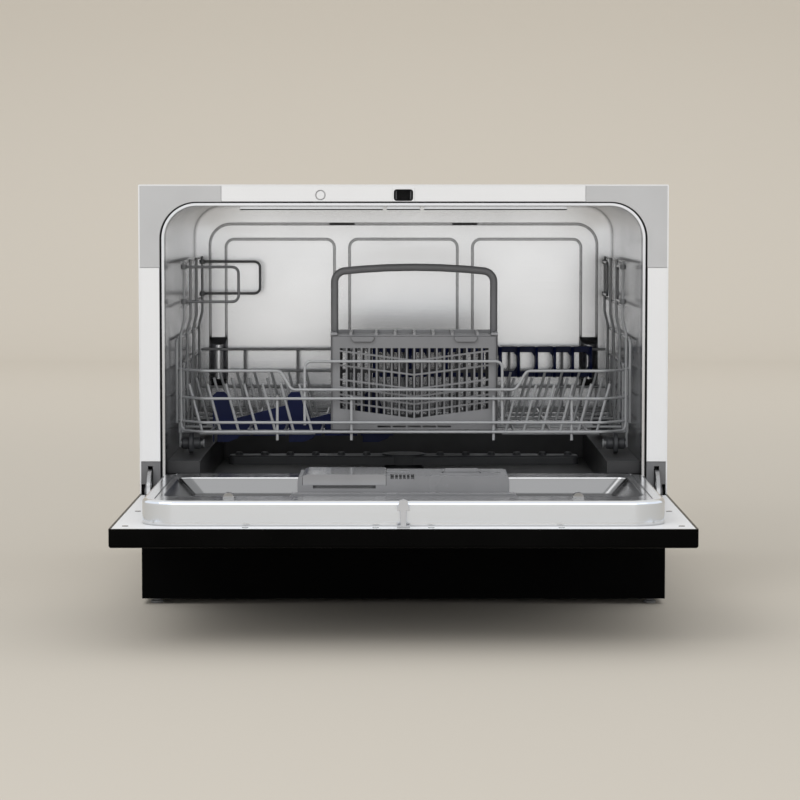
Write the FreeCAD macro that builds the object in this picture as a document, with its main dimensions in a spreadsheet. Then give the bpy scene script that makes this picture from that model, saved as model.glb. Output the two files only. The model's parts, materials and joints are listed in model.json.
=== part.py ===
import FreeCAD, Part
import math
import os
import Sketcher
from types import SimpleNamespace

# A compact table-top dishwasher for six place settings, standing open: the cabinet with its steel tub, the
# door lowered in front on two curved hinge arms, and the wire basket on rollers inside.
# Millimetres. +X is the right of the machine, -Y is its front and +Z is up. The cabinet's front plane is the
# building plane Y = 0, and every piece is then moved back so that the origin is under the middle of the open
# machine.

Vector = FreeCAD.Vector

SIZES = {
    # cabinet
    "cabinet_width": 550, "cabinet_height": 438, "cabinet_depth": 483, "foot_height": 6, "foot_radius": 6.5,
    "foot_inset": 16, "panel_foot": 62, "sheet": 1.5, "cover_lap": 14, "tray_wall": 3, "plinth_height": 87,
    "plinth_thickness": 3, "plug_radius": 5.4, "plug_groove": 1.2, "frame_depth": 14, "post_width": 20,
    "plate_reach": 86, "plate_thickness": 3, "crossbar_depth": 34,
    # tub
    "tub_half_width": 248.5, "tub_ceiling": 416, "tub_depth": 430, "tub_sheet": 1.2, "tub_corner": 34,
    "tub_front": 2, "wall_foot": 119, "seal_width": 3.2, "seal_depth": 7.5, "seal_gap": 0.3,
    "flange_width": 1.8, "drip_half": 171, "drip_start": 26, "drip_depth": 4, "drip_height": 4.5,
    "drip_notch": 2, "drip_notch_x": 19.5, "groove_width": 3, "groove_depth": 3, "panel_corner": 10,
    "bead_corner": 25, "rear_panel_top": 376, "rear_panel_foot": 152, "rear_panel_half": 64,
    "rear_panel_gap": 18, "rear_panel_outer": 211, "rear_bead_half": 230, "rear_bead_top": 394,
    "boss_radius": 10.6, "boss_top": 259.5, "boss_foot": 210, "boss_scoop": 9, "rail_top": 148,
    "rail_inner": 214,
    "rail_start": 27, "floor_level": 115, "floor_wall": 3, "support_x": 190, "support_half": 9,
    "support_front": 60, "support_rear": 395, "sill_top": 134, "sill_depth": 25, "sump_radius": 43,
    "sump_floor": 62,
    # hinge and door
    "hinge_height": 117, "door_gap": 1, "door_top_gap": 0.5, "door_shell": 18, "door_wall": 2.5,
    "door_heel": 12, "inner_panel": 2, "inner_panel_heel": 12, "pin_radius": 3, "ear_radius": 6.5,
    "ear_thickness": 3, "running_fit": 0.06, "arm_thickness": 4, "arm_inset": 11, "arm_sweep": 25,
    "arm_hub": 7, "arm_foot": 60, "housing_top": 150, "housing_foot": 126, "housing_slack": 0.6,
    # door liner and what it carries
    "liner_half_width": 247.8, "liner_top_end": 296.5, "liner_heel": 22, "liner_height": 24,
    "liner_corner": 30, "liner_sheet": 1.2, "pocket_half_width": 229.5, "pocket_start": 70,
    "pocket_end": 255,
    "pocket_depth": 16, "pocket_corner": 12, "pocket_slope": 15, "pocket_end_slope": 4, "crease_x": 234.6,
    "crease_width": 2.4, "crease_depth": 0.7,
    "crease_near": 276, "crease_far": 30, "bump_radius": 5.5, "bump_place": 165.6,
    "bump_length": 8, "screw_outer": 148, "screw_inner": 26, "dispenser_half_width": 103,
    "dispenser_near": 200, "dispenser_depth": 77, "dispenser_rise": 39.5, "skirt_reach": 17,
    "skirt_gap": 4, "skirt_run": 15, "skirt_slope": 10, "skirt_height": 14.4, "lid_left": 98,
    "lid_right": 17,
    "lid_thickness": 10.6, "body_corner": 4, "lid_slack": 0.3, "chamber_wall": 8, "cap_radius": 19.2,
    "cap_place": 57, "cap_height": 5, "striker_width": 12, "striker_reach": 26, "striker_place": 310,
    "striker_thickness": 5, "slot_width": 20, "slot_height": 12, "slot_corner": 3, "guard_x": 7,
    "guard_width": 1.2, "guard_front": 3, "grip_left": -12.5, "grip_right": 10.5, "grip_depth": 3,
    "grip_reach": 24,
    # controls on the outside of the door
    "button_radius": 8, "button_travel": 1.2, "button_proud": 1, "button_flange": 1.5, "button_row": 262,
    "button_left": 205, "button_step": 54, "display_width": 96, "display_height": 22, "board_width": 300,
    "board_height": 44, "board_thickness": 1.6, "pull_width": 130, "pull_height": 26, "pull_depth": 10,
    # spray arm, filter and pumps
    "spray_radius": 196, "spray_level": 127, "spray_height": 10, "spray_hub": 24, "spray_width": 44,
    "spray_tip": 26, "spray_nozzles": 6, "pedestal_radius": 20, "axle_radius": 6, "filter_radius": 36,
    "filter_place_x": 96, "filter_place_y": 120, "filter_half_plate": 66, "pump_radius": 36,
    "pump_length": 120, "drain_pump_radius": 22, "drain_pump_length": 60,
    # rear connections
    "inlet_radius": 13.2, "inlet_length": 17, "inlet_x": -200, "outlet_radius": 9.5, "outlet_x": -150,
    "gland_radius": 10, "gland_x": 200, "connection_level": 38, "vent_first": 150, "vent_pitch": 24,
    "vent_width": 9, "vent_half": 15,
    # basket
    "wire": 3, "wire_bend": 7, "basket_front": 60, "basket_rear": 410, "basket_half_width": 241,
    "front_half_width": 213, "basket_floor": 176, "rim_level": 241, "dip_level": 221, "dip_half_width": 119,
    "dip_ramp": 12, "front_mid_level": 211.5, "front_low_level": 186, "arch_half_width": 105,
    "arch_top": 251, "rear_rim_level": 246, "floor_wires": 8, "right_floor_wires": 3, "cross_wires": 6,
    "post_foot": 167, "tine_pitch": 19.6, "left_tines": 7, "right_tines": 6, "left_tine_first": 97.5,
    "right_tine_first": 108.5, "tine_height": 53, "tine_lean": 15, "tine_row_first": 82,
    "tine_row_pitch": 105, "tine_rows": 3, "roller_radius": 11.5, "roller_drum": 6.4,
    "roller_width": 20, "roller_level": 160,
    "roller_axle": 3, "roller_front": 110, "roller_rear": 360, "rack_inset": 4, "rack_top": 354.8,
    "rack_mid": 307, "rack_low": 292, "side_rail": 272, "rack_front": 118, "rack_rear": 396,
    "loop_length": 59,
    "rear_loop_length": 68, "loop_drop": 4.8, "loop_height": 37.5, "loop_set": 1.6, "eye_wall": 1.8,
    "eye_height": 5,
    # cutlery basket
    "cutlery_width": 178, "cutlery_depth": 72, "cutlery_height": 99.5, "cutlery_offset": 11.5,
    "cutlery_set_back": 8, "cutlery_wall": 2.4, "cutlery_band": 12.5, "mesh_margin": 9, "mesh_pitch": 8,
    "mesh_bar": 1.9, "mesh_first": 13.3, "mesh_wide": 15.2, "mesh_wide_rows": 2, "mesh_narrow": 8,
    "mesh_narrow_rows": 4, "chevron": 7.4, "foot_slot": 14, "foot_slot_pitch": 16, "foot_slot_height": 1.8,
    "foot_slots": 5, "cutlery_lid": 4, "lid_barrel": 2, "lid_pitch": 20.3, "lid_rib": 2.9,
    "lug_place": 54.8,
    "lug_half": 12, "lug_height": 5.6, "lug_thickness": 3, "lid_web": 1.2, "knuckle": 7,
    "handle_bar": 8, "handle_set": 3.5,
    "handle_bend": 12, "handle_top": 354, "handle_shoulder": 5, "boss_length": 8.5, "boss_half": 6,
    "boss_height": 18, "panel_joint": 0.2, "slot_bar": 4.4,
    # blue fittings
    "comb_left": -36, "comb_width": 258, "comb_foot": 214, "comb_top": 250, "comb_rail": 7,
    "comb_depth": 10,
    "comb_ribs": 13, "comb_rib_width": 3.4, "comb_reach": 26, "comb_cut": 3.5, "comb_cut_height": 5,
    "rest_left": -208.5, "rest_post": 17, "rest_pitch": 82, "rest_teeth": 3, "rest_width": 9,
    "rest_top": 213, "rest_low": 184, "rest_high": 199, "rest_under": 165, "rest_foot": 158,
    "rest_place": 146,
}

doc = FreeCAD.newDocument("compact_dishwasher")
sheet = doc.addObject("Spreadsheet::Sheet", "Dims")
for row, (alias, number) in enumerate(SIZES.items(), start=1):
    sheet.set(f"A{row}", alias)
    sheet.set(f"B{row}", str(number))
    sheet.setAlias(f"B{row}", alias)
doc.recompute()


class Size:
    """A size in millimetres that knows both its number and the sheet expression it comes from."""

    def __init__(self, text, value):
        self.text = text
        self.value = float(value)

    @staticmethod
    def of(other):
        """Take a size, or a plain number as a size."""
        return other if isinstance(other, Size) else Size(f"({other})", other)

    def __add__(self, other):
        other = Size.of(other)
        return Size(f"({self.text} + {other.text})", self.value + other.value)

    def __sub__(self, other):
        other = Size.of(other)
        return Size(f"({self.text} - {other.text})", self.value - other.value)

    def __mul__(self, other):
        other = Size.of(other)
        return Size(f"({self.text} * {other.text})", self.value * other.value)

    def __truediv__(self, other):
        other = Size.of(other)
        return Size(f"({self.text} / {other.text})", self.value / other.value)

    def __radd__(self, other):
        return Size.of(other) + self

    def __rsub__(self, other):
        return Size.of(other) - self

    def __rmul__(self, other):
        return Size.of(other) * self

    def __neg__(self):
        return Size.of(0) - self


D = SimpleNamespace(**{alias: Size(f"Dims.{alias}", sheet.get(alias)) for alias in SIZES})

# Lines that several pieces share.
half_width = D.cabinet_width / 2
inner_half_width = half_width - D.sheet
cover_foot = D.cabinet_height - D.cover_lap
roof = D.cabinet_height - D.sheet
rear_face = D.cabinet_depth - D.sheet
plinth_top = D.foot_height + D.plinth_height
tub_outer = D.tub_half_width + D.tub_sheet
opening_half = tub_outer + D.seal_width + D.seal_gap
opening_top = D.tub_ceiling + D.tub_sheet + D.seal_width - D.seal_gap
opening_corner = D.tub_corner + D.tub_sheet + D.seal_width
plate_foot = D.cabinet_height - D.plate_reach
door_plane = D.hinge_height - D.door_gap
door_back = door_plane - D.door_shell
door_floor = door_back + D.door_wall
door_reach = D.cabinet_height - D.door_top_gap - D.hinge_height
rear_reach = D.cabinet_depth + D.inlet_length
front_offset = (door_reach - rear_reach) / 2
arm_middle = half_width - D.arm_inset
liner_rim = door_plane + D.liner_height
pocket_floor = liner_rim - D.pocket_depth
dispenser_top = door_plane + D.dispenser_rise
spray_y = (D.sill_depth + D.tub_depth) / 2
cutlery_left = D.cutlery_offset - D.cutlery_width / 2
cutlery_right = D.cutlery_offset + D.cutlery_width / 2
cutlery_front = D.basket_front + D.cutlery_set_back
cutlery_rear = cutlery_front + D.cutlery_depth
cutlery_foot = D.basket_floor + D.wire / 2 + D.seal_gap
cutlery_top = cutlery_foot + D.cutlery_height
wire_radius = D.wire / 2

nodes = {}
placed_y = {}
count = {"piece": 0}


def fresh(stem):
    """Return a new internal name."""
    count["piece"] += 1
    return f"{stem}_{count['piece']}"


def bind(thing, path, size):
    """Tie one property of an object to the sheet."""
    thing.setExpression(path, Size.of(size).text)


def keep(label, thing):
    """Name a finished sub-part and move it into the part's own frame."""
    thing.Label = label
    bind(thing, "Placement.Base.y", placed_y.get(thing.Name, Size.of(0)) + front_offset)
    nodes[label] = thing
    return thing


def box(x0, x1, y0, y1, z0, z1):
    """Make a block between two corners."""
    block = doc.addObject("Part::Box", fresh("block"))
    spans = (("Length", Size.of(x1) - x0), ("Width", Size.of(y1) - y0), ("Height", Size.of(z1) - z0))
    for path, size in spans:
        bind(block, path, size)
    for path, size in (("Placement.Base.x", x0), ("Placement.Base.y", y0), ("Placement.Base.z", z0)):
        bind(block, path, size)
    placed_y[block.Name] = Size.of(y0)
    return block


TURNS = {
    "X": FreeCAD.Rotation(Vector(0, 1, 0), 90),
    "Y": FreeCAD.Rotation(Vector(1, 0, 0), -90),
    "Z": FreeCAD.Rotation(),
}


def rod(axis, x, y, z, radius, length):
    """Make a round bar that starts at a point and runs along an axis."""
    bar = doc.addObject("Part::Cylinder", fresh("bar"))
    bar.Placement = FreeCAD.Placement(Vector(), TURNS[axis])
    bind(bar, "Radius", radius)
    bind(bar, "Height", length)
    for path, size in (("Placement.Base.x", x), ("Placement.Base.y", y), ("Placement.Base.z", z)):
        bind(bar, path, size)
    placed_y[bar.Name] = Size.of(y)
    return bar


def taper(axis, x, y, z, radius, end_radius, length):
    """Make a tapered round bar."""
    bar = doc.addObject("Part::Cone", fresh("taper"))
    bar.Placement = FreeCAD.Placement(Vector(), TURNS[axis])
    bind(bar, "Radius1", radius)
    bind(bar, "Radius2", end_radius)
    bind(bar, "Height", length)
    for path, size in (("Placement.Base.x", x), ("Placement.Base.y", y), ("Placement.Base.z", z)):
        bind(bar, path, size)
    placed_y[bar.Name] = Size.of(y)
    return bar


def join(*things):
    """Unite pieces that are moulded, pressed or welded together."""
    whole = doc.addObject("Part::MultiFuse", fresh("joined"))
    whole.Shapes = list(things)
    return whole


def carve(base, *tools):
    """Take one or more shapes away from a base."""
    cut = doc.addObject("Part::Cut", fresh("carved"))
    cut.Base = base
    cut.Tool = tools[0] if len(tools) == 1 else join(*tools)
    return cut


def overlap(first, second):
    """Keep what two shapes share."""
    common = doc.addObject("Part::Common", fresh("shared"))
    common.Base = first
    common.Tool = second
    return common


def mirrored(thing):
    """Make the other hand of a piece, across the machine's middle plane."""
    other = doc.addObject("Part::Mirroring", fresh("other_hand"))
    other.Source = thing
    other.Base = Vector(0, 0, 0)
    other.Normal = Vector(1, 0, 0)
    return other


def rounded(thing, radius, pick):
    """Round the edges that a test picks."""
    doc.recompute()
    soft = doc.addObject("Part::Fillet", fresh("rounded"))
    soft.Base = thing
    value = Size.of(radius).value
    soft.Edges = [(i, value, value) for i, edge in enumerate(thing.Shape.Edges, start=1) if pick(edge)]
    return soft


def runs(edge, axis):
    """Say whether a straight edge runs along an axis."""
    if not isinstance(edge.Curve, Part.Line):
        return False
    return abs(abs(edge.Curve.Direction.dot(axis)) - 1) < 1e-6


ALONG_X = Vector(1, 0, 0)
ALONG_Y = Vector(0, 1, 0)
ALONG_Z = Vector(0, 0, 1)


def body_with_sketch(role, level):
    """Start a body with one empty sketch on an origin plane, set off to a level along that plane's axis."""
    body = doc.addObject("PartDesign::Body", fresh("body"))
    sketch = body.newObject("Sketcher::SketchObject", fresh("sketch"))
    plane = next(f for f in body.Origin.OriginFeatures if f.Role == role)
    sketch.AttachmentSupport = [(plane, "")]
    sketch.MapMode = "FlatFace"
    bind(sketch, "AttachmentOffset.Base.z", level)
    return body, sketch


def outline(sketch, points):
    """Draw a closed outline of straight lines whose corners are tied to the sheet."""
    first = sketch.GeometryCount
    total = len(points)
    corners = [Vector(Size.of(u).value, Size.of(v).value, 0) for u, v in points]
    for i in range(total):
        sketch.addGeometry(Part.LineSegment(corners[i], corners[(i + 1) % total]), False)
    for i in range(total):
        sketch.addConstraint(Sketcher.Constraint("Coincident", first + i, 2, first + (i + 1) % total, 1))
    for i, (u, v) in enumerate(points):
        for kind, size in (("DistanceX", Size.of(u)), ("DistanceY", Size.of(v))):
            number = sketch.addConstraint(Sketcher.Constraint(kind, -1, 1, first + i, 1, size.value))
            sketch.setExpression(f"Constraints[{number}]", size.text)


def circle(sketch, u, v, radius):
    """Draw a circle tied to the sheet."""
    u, v, radius = Size.of(u), Size.of(v), Size.of(radius)
    index = sketch.addGeometry(Part.Circle(Vector(u.value, v.value, 0), Vector(0, 0, 1), radius.value), False)
    for kind, size in (("DistanceX", u), ("DistanceY", v)):
        number = sketch.addConstraint(Sketcher.Constraint(kind, -1, 1, index, 3, size.value))
        sketch.setExpression(f"Constraints[{number}]", size.text)
    number = sketch.addConstraint(Sketcher.Constraint("Radius", index, radius.value))
    sketch.setExpression(f"Constraints[{number}]", radius.text)


def prism(role, start, end, points, holes=()):
    """Pad an outline, with round holes, between two levels along its plane's own axis."""
    start, end = Size.of(start), Size.of(end)
    body, sketch = body_with_sketch(role, -end if role == "XZ_Plane" else start)
    outline(sketch, points)
    for u, v, radius in holes:
        circle(sketch, u, v, radius)
    pad = body.newObject("PartDesign::Pad", fresh("pad"))
    pad.Profile = sketch
    bind(pad, "Length", end - start)
    return body


def soften(body, radius, pick):
    """Add a rounding feature to a body on the edges that a test picks."""
    doc.recompute()
    base = body.Tip
    names = [f"Edge{i}" for i, edge in enumerate(base.Shape.Edges, start=1) if pick(edge)]
    fillet = body.newObject("PartDesign::Fillet", fresh("fillet"))
    fillet.Base = (base, names)
    bind(fillet, "Radius", radius)
    return body


def turned(points, x, y, z, axis="Z"):
    """Revolve a half outline of radius and height about its own axis and set it in place."""
    body, sketch = body_with_sketch("XZ_Plane", 0)
    outline(sketch, points)
    spin = body.newObject("PartDesign::Revolution", fresh("turned"))
    spin.Profile = sketch
    spin.ReferenceAxis = (sketch, ["V_Axis"])
    spin.Angle = 360
    body.Placement = FreeCAD.Placement(Vector(), TURNS[axis])
    for path, size in (("Placement.Base.x", x), ("Placement.Base.y", y), ("Placement.Base.z", z)):
        bind(body, path, size)
    placed_y[body.Name] = Size.of(y)
    return body


def rectangle(u0, u1, v0, v1):
    """Return the four corners of an upright rectangle."""
    return [(u0, v0), (u1, v0), (u1, v1), (u0, v1)]


def point(x, y, z):
    """Return a place from three sizes."""
    return Vector(Size.of(x).value, Size.of(y).value, Size.of(z).value)


def bent(places, radius, bend):
    """Bend a round wire along straight runs joined by tangent arcs."""
    edges = []
    start = places[0]
    for before, corner, after in zip(places, places[1:], places[2:]):
        inward = (before - corner).normalize()
        outward = (after - corner).normalize()
        half_turn = (math.pi - inward.getAngle(outward)) / 2
        reach = bend * math.tan(half_turn)
        first = corner + inward * reach
        last = corner + outward * reach
        bisector = (inward + outward).normalize()
        middle = corner + bisector * (bend / math.cos(half_turn) - bend)
        edges.append(Part.LineSegment(start, first).toShape())
        edges.append(Part.Arc(first, middle, last).toShape())
        start = last
    edges.append(Part.LineSegment(start, places[-1]).toShape())
    path = Part.Wire(edges)
    heading = (places[1] - places[0]).normalize()
    ring = Part.Wire([Part.Circle(places[0], heading, radius).toShape()])
    return path.makePipeShell([ring], True, False)


def straight(first, last, radius):
    """Cut a straight length of round wire."""
    along = last - first
    return Part.makeCylinder(radius, along.Length, first, along)


def welded(label, wires):
    """Weld wires into one piece."""
    piece = doc.addObject("Part::Feature", fresh("welded"))
    piece.Shape = wires[0].multiFuse(wires[1:]) if len(wires) > 1 else wires[0]
    return keep(label, piece)


# cabinet


def make_base():
    """The black base tray, its feet and the plinth in front of it."""
    tray = box(-inner_half_width, inner_half_width, D.plinth_thickness, rear_face, D.foot_height, plinth_top)
    room = box(
        D.tray_wall - inner_half_width, inner_half_width - D.tray_wall, D.plinth_thickness + D.tray_wall,
        rear_face - D.tray_wall, D.foot_height + D.tray_wall, plinth_top + D.tray_wall,
    )
    vents = [
        box(
            D.vent_first - D.vent_pitch * step, D.vent_first - D.vent_pitch * step + D.vent_width,
            rear_face - D.tray_wall * 2, rear_face + D.tray_wall, D.connection_level - D.vent_half,
            D.connection_level + D.vent_half,
        )
        for step in range(4)
    ]
    pillars = [
        box(
            D.support_x * side - D.support_half, D.support_x * side + D.support_half, y - D.support_half,
            y + D.support_half, D.foot_height + D.tray_wall / 2, D.floor_level - D.floor_wall,
        )
        for side in (-1, 1)
        for y in (D.support_front, D.support_rear)
    ]
    ports = [
        rod("Y", x, rear_face - D.tray_wall * 2, D.connection_level, radius + D.seal_gap, D.tray_wall * 3)
        for x, radius in (
            (D.inlet_x, D.inlet_radius), (D.outlet_x, D.outlet_radius), (D.gland_x, D.gland_radius),
        )
    ]
    keep("base_tray", join(carve(tray, room, *vents, *ports), *pillars))
    plinth = prism(
        "XY_Plane", D.foot_height, plinth_top,
        rectangle(-inner_half_width, inner_half_width, 0, D.plinth_thickness),
    )
    keep("plinth_panel", plinth)
    feet = []
    foot_profile = [
        (0, 0), (D.foot_radius, 0), (D.foot_radius, D.foot_height / 3),
        (D.foot_radius * 0.7, D.foot_height / 2),
        (D.foot_radius * 0.7, D.foot_height), (0, D.foot_height),
    ]
    for side in (-1, 1):
        for y in (D.foot_inset, D.cabinet_depth - D.foot_inset):
            feet.append(turned(foot_profile, (half_width - D.foot_inset) * side, y, 0))
    keep("levelling_feet", join(*feet))


def make_casing():
    """The painted sheet casing: two sides, the back and the lapping top cover."""
    for label, side in (("left_side_panel", -1), ("right_side_panel", 1)):
        edges = sorted((half_width * side, inner_half_width * side), key=lambda size: size.value)
        keep(label, box(edges[0], edges[1], 0, D.cabinet_depth, D.panel_foot, cover_foot))
    back = box(-inner_half_width, inner_half_width, rear_face, D.cabinet_depth, D.panel_foot, cover_foot)
    keep("back_panel", back)
    cover = box(-half_width, half_width, 0, D.cabinet_depth, cover_foot, D.cabinet_height)
    under = box(-inner_half_width, inner_half_width, -D.sheet, rear_face, cover_foot - D.sheet, roof)
    cover = rounded(
        carve(cover, under), D.sheet * 0.9,
        lambda edge: runs(edge, ALONG_Y) and edge.BoundBox.ZMin > D.cabinet_height.value - 0.01,
    )
    keep("top_cover", cover)


def opening_block(depth):
    """The shape of the front opening, with its rounded upper corners."""
    body = prism(
        "XZ_Plane", -depth, depth, rectangle(-opening_half, opening_half, D.foot_height, opening_top)
    )
    top = opening_top.value
    return soften(
        body, opening_corner, lambda edge: runs(edge, ALONG_Y) and abs(edge.BoundBox.ZMin - top) < 0.01
    )


def make_front_frame():
    """The white crossbar and posts and the grey corner plates round the opening."""
    bar_half = half_width - D.plate_reach - D.seal_gap
    bar = box(-bar_half, bar_half, 0, D.crossbar_depth, opening_top + D.seal_gap, roof)
    slot_middle = D.hinge_height + D.striker_place
    slot = prism(
        "XZ_Plane", -D.sheet, D.crossbar_depth + D.sheet,
        rectangle(
            -D.slot_width / 2, D.slot_width / 2, slot_middle - D.slot_height / 2,
            slot_middle + D.slot_height / 2
        ),
    )
    soften(slot, D.slot_corner, lambda edge: runs(edge, ALONG_Y))
    plug = carve(
        rod("Y", -D.plate_reach, -D.sheet, slot_middle, D.plug_radius, D.sheet * 2),
        rod("Y", -D.plate_reach, -D.sheet * 2, slot_middle, D.plug_radius - D.plug_groove, D.sheet * 4),
    )
    rim = carve(
        box(
            -D.slot_width / 2 - D.sheet, D.slot_width / 2 + D.sheet, -D.door_gap / 2, D.sheet,
            opening_top + D.seal_gap, slot_middle + D.slot_height / 2 + D.sheet,
        ),
        slot,
    )
    keep("top_crossbar", join(carve(bar, slot, plug), rim))
    plate = box(half_width - D.plate_reach, inner_half_width, 0, D.plate_thickness, plate_foot, roof)
    right_plate = carve(plate, opening_block(D.frame_depth))
    keep("corner_plates", join(right_plate, mirrored(right_plate)))
    right_post = box(
        inner_half_width - D.post_width, inner_half_width, 0, D.frame_depth, D.housing_top,
        plate_foot - D.seal_gap
    )
    keep("front_posts", join(right_post, mirrored(right_post)))


def make_hinge_seats():
    """The grey hinge housings, each with a slot for its arm and two ears, and the hinge pins."""
    inner = inner_half_width - D.post_width
    outer = inner_half_width
    slot_half = D.arm_thickness / 2 + D.housing_slack
    depth = D.crossbar_depth
    block = box(inner, outer, D.door_gap / 2, depth, D.housing_foot, D.housing_top - D.seal_gap)
    ears = []
    for x0, x1 in (
        (arm_middle - slot_half - D.ear_thickness, arm_middle - slot_half),
        (arm_middle + slot_half, arm_middle + slot_half + D.ear_thickness),
    ):
        ears.append(rod("X", x0, 0, D.hinge_height, D.ear_radius, x1 - x0))
        ears.append(box(x0, x1, D.door_gap / 2, D.ear_radius, D.hinge_height, D.housing_foot + D.sheet))
    slot = box(
        arm_middle - slot_half, arm_middle + slot_half, -D.ear_radius, D.arm_sweep + D.sheet * 2,
        D.hinge_height - D.ear_radius, D.hinge_height + D.arm_sweep + D.sheet * 2,
    )
    bore = rod("X", inner, 0, D.hinge_height, D.pin_radius, D.post_width)
    right = carve(join(block, *ears), slot, bore)
    keep("hinge_housings", join(right, mirrored(right)))
    pin = rod(
        "X", arm_middle - slot_half - D.ear_thickness, 0, D.hinge_height, D.pin_radius,
        (slot_half + D.ear_thickness) * 2,
    )
    keep("hinge_pins", join(pin, mirrored(pin)))


# tub


def make_tub():
    """The steel tub: a bent wrapper, the stamped rear wall and the black moulded floor with its sump."""
    outer = prism("XZ_Plane", D.tub_front, D.tub_depth, rectangle(-tub_outer, tub_outer, D.wall_foot,
                                                                  D.tub_ceiling + D.tub_sheet))
    soften(
        outer, D.tub_corner + D.tub_sheet,
        lambda edge: runs(edge, ALONG_Y) and edge.BoundBox.ZMin > D.tub_ceiling.value,
    )
    inner = prism(
        "XZ_Plane", 0, D.tub_depth + D.sheet,
        rectangle(-D.tub_half_width, D.tub_half_width, D.foot_height, D.tub_ceiling),
    )
    soften(
        inner, D.tub_corner,
        lambda edge: runs(edge, ALONG_Y) and edge.BoundBox.ZMin > D.tub_ceiling.value - 0.01,
    )
    flange = prism(
        "XZ_Plane", D.tub_front, D.tub_front + D.tub_sheet,
        rectangle(
            -tub_outer - D.flange_width, tub_outer + D.flange_width, D.wall_foot,
            D.tub_ceiling + D.tub_sheet + D.flange_width,
        ),
    )
    soften(
        flange, D.tub_corner + D.tub_sheet + D.flange_width,
        lambda edge: runs(edge, ALONG_Y) and edge.BoundBox.ZMin > D.tub_ceiling.value,
    )
    near, far = D.drip_notch_x - D.drip_notch, D.drip_notch_x + D.drip_notch
    drips = [
        box(
            left, right, D.drip_start, D.drip_start + D.drip_depth, D.tub_ceiling - D.drip_height,
            D.tub_ceiling + D.tub_sheet / 2,
        )
        for left, right in ((-D.drip_half, -far), (-near, near), (far, D.drip_half))
    ]
    keep("tub_wrapper", join(carve(join(outer, flange), inner), *drips))
    wall = prism(
        "XZ_Plane", D.tub_depth, D.tub_depth + D.tub_sheet, rectangle(-tub_outer, tub_outer, D.wall_foot,
                                                                      D.tub_ceiling + D.tub_sheet))
    soften(
        wall, D.tub_corner + D.tub_sheet,
        lambda edge: runs(edge, ALONG_Y) and edge.BoundBox.ZMin > D.tub_ceiling.value,
    )
    spans = [
        (-D.rear_panel_outer, -D.rear_panel_half - D.rear_panel_gap), (-D.rear_panel_half, D.rear_panel_half),
        (D.rear_panel_half + D.rear_panel_gap, D.rear_panel_outer),
    ]
    grooves = [groove_parts(left, right, D.rear_panel_top, D.panel_corner) for left, right in spans]
    grooves.append(groove_parts(-D.rear_bead_half, D.rear_bead_half, D.rear_bead_top, D.bead_corner))
    pressed = carve(join(wall, *[bead for bead, channel in grooves]), *[channel for bead, channel in grooves])
    bosses = []
    for side in (-1, 1):
        middle = (D.rear_panel_outer + D.rear_bead_half) / 2 * side
        stem = overlap(
            rod("Z", middle, D.tub_depth, D.boss_foot, D.boss_radius, D.boss_top - D.boss_foot),
            box(-tub_outer, tub_outer, 0, D.tub_depth + D.tub_sheet / 2, D.boss_foot, D.boss_top),
        )
        scoop = prism(
            "YZ_Plane", middle - D.boss_radius * 2, middle + D.boss_radius * 2,
            [
                (D.tub_depth - D.boss_radius * 1.5, D.boss_top - D.boss_scoop * 1.5),
                (D.tub_depth, D.boss_top), (D.tub_depth, D.boss_top + D.boss_scoop),
                (D.tub_depth - D.boss_radius * 1.5, D.boss_top + D.boss_scoop),
            ],
        )
        bosses.append(carve(stem, scoop))
    keep("tub_back", join(pressed, *bosses))


def groove_parts(left, right, top, corner):
    """A groove pressed round a field of the rear wall: the bead behind it and the channel inside."""
    def field(grow, start, end):
        body = prism(
            "XZ_Plane", start, end,
            rectangle(left - grow, right + grow, D.rear_panel_foot - grow, top + grow),
        )
        return soften(body, corner + grow, lambda edge: runs(edge, ALONG_Y))

    def ring(half, start, end):
        return carve(field(half, start, end), field(-half, start - D.sheet, end + D.sheet))

    half = D.groove_width / 2
    floor = D.tub_depth + D.groove_depth
    bead = ring(half + D.tub_sheet, D.tub_depth + D.tub_sheet / 2, floor + D.tub_sheet)
    return bead, ring(half, D.tub_depth - D.sheet, floor)


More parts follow.
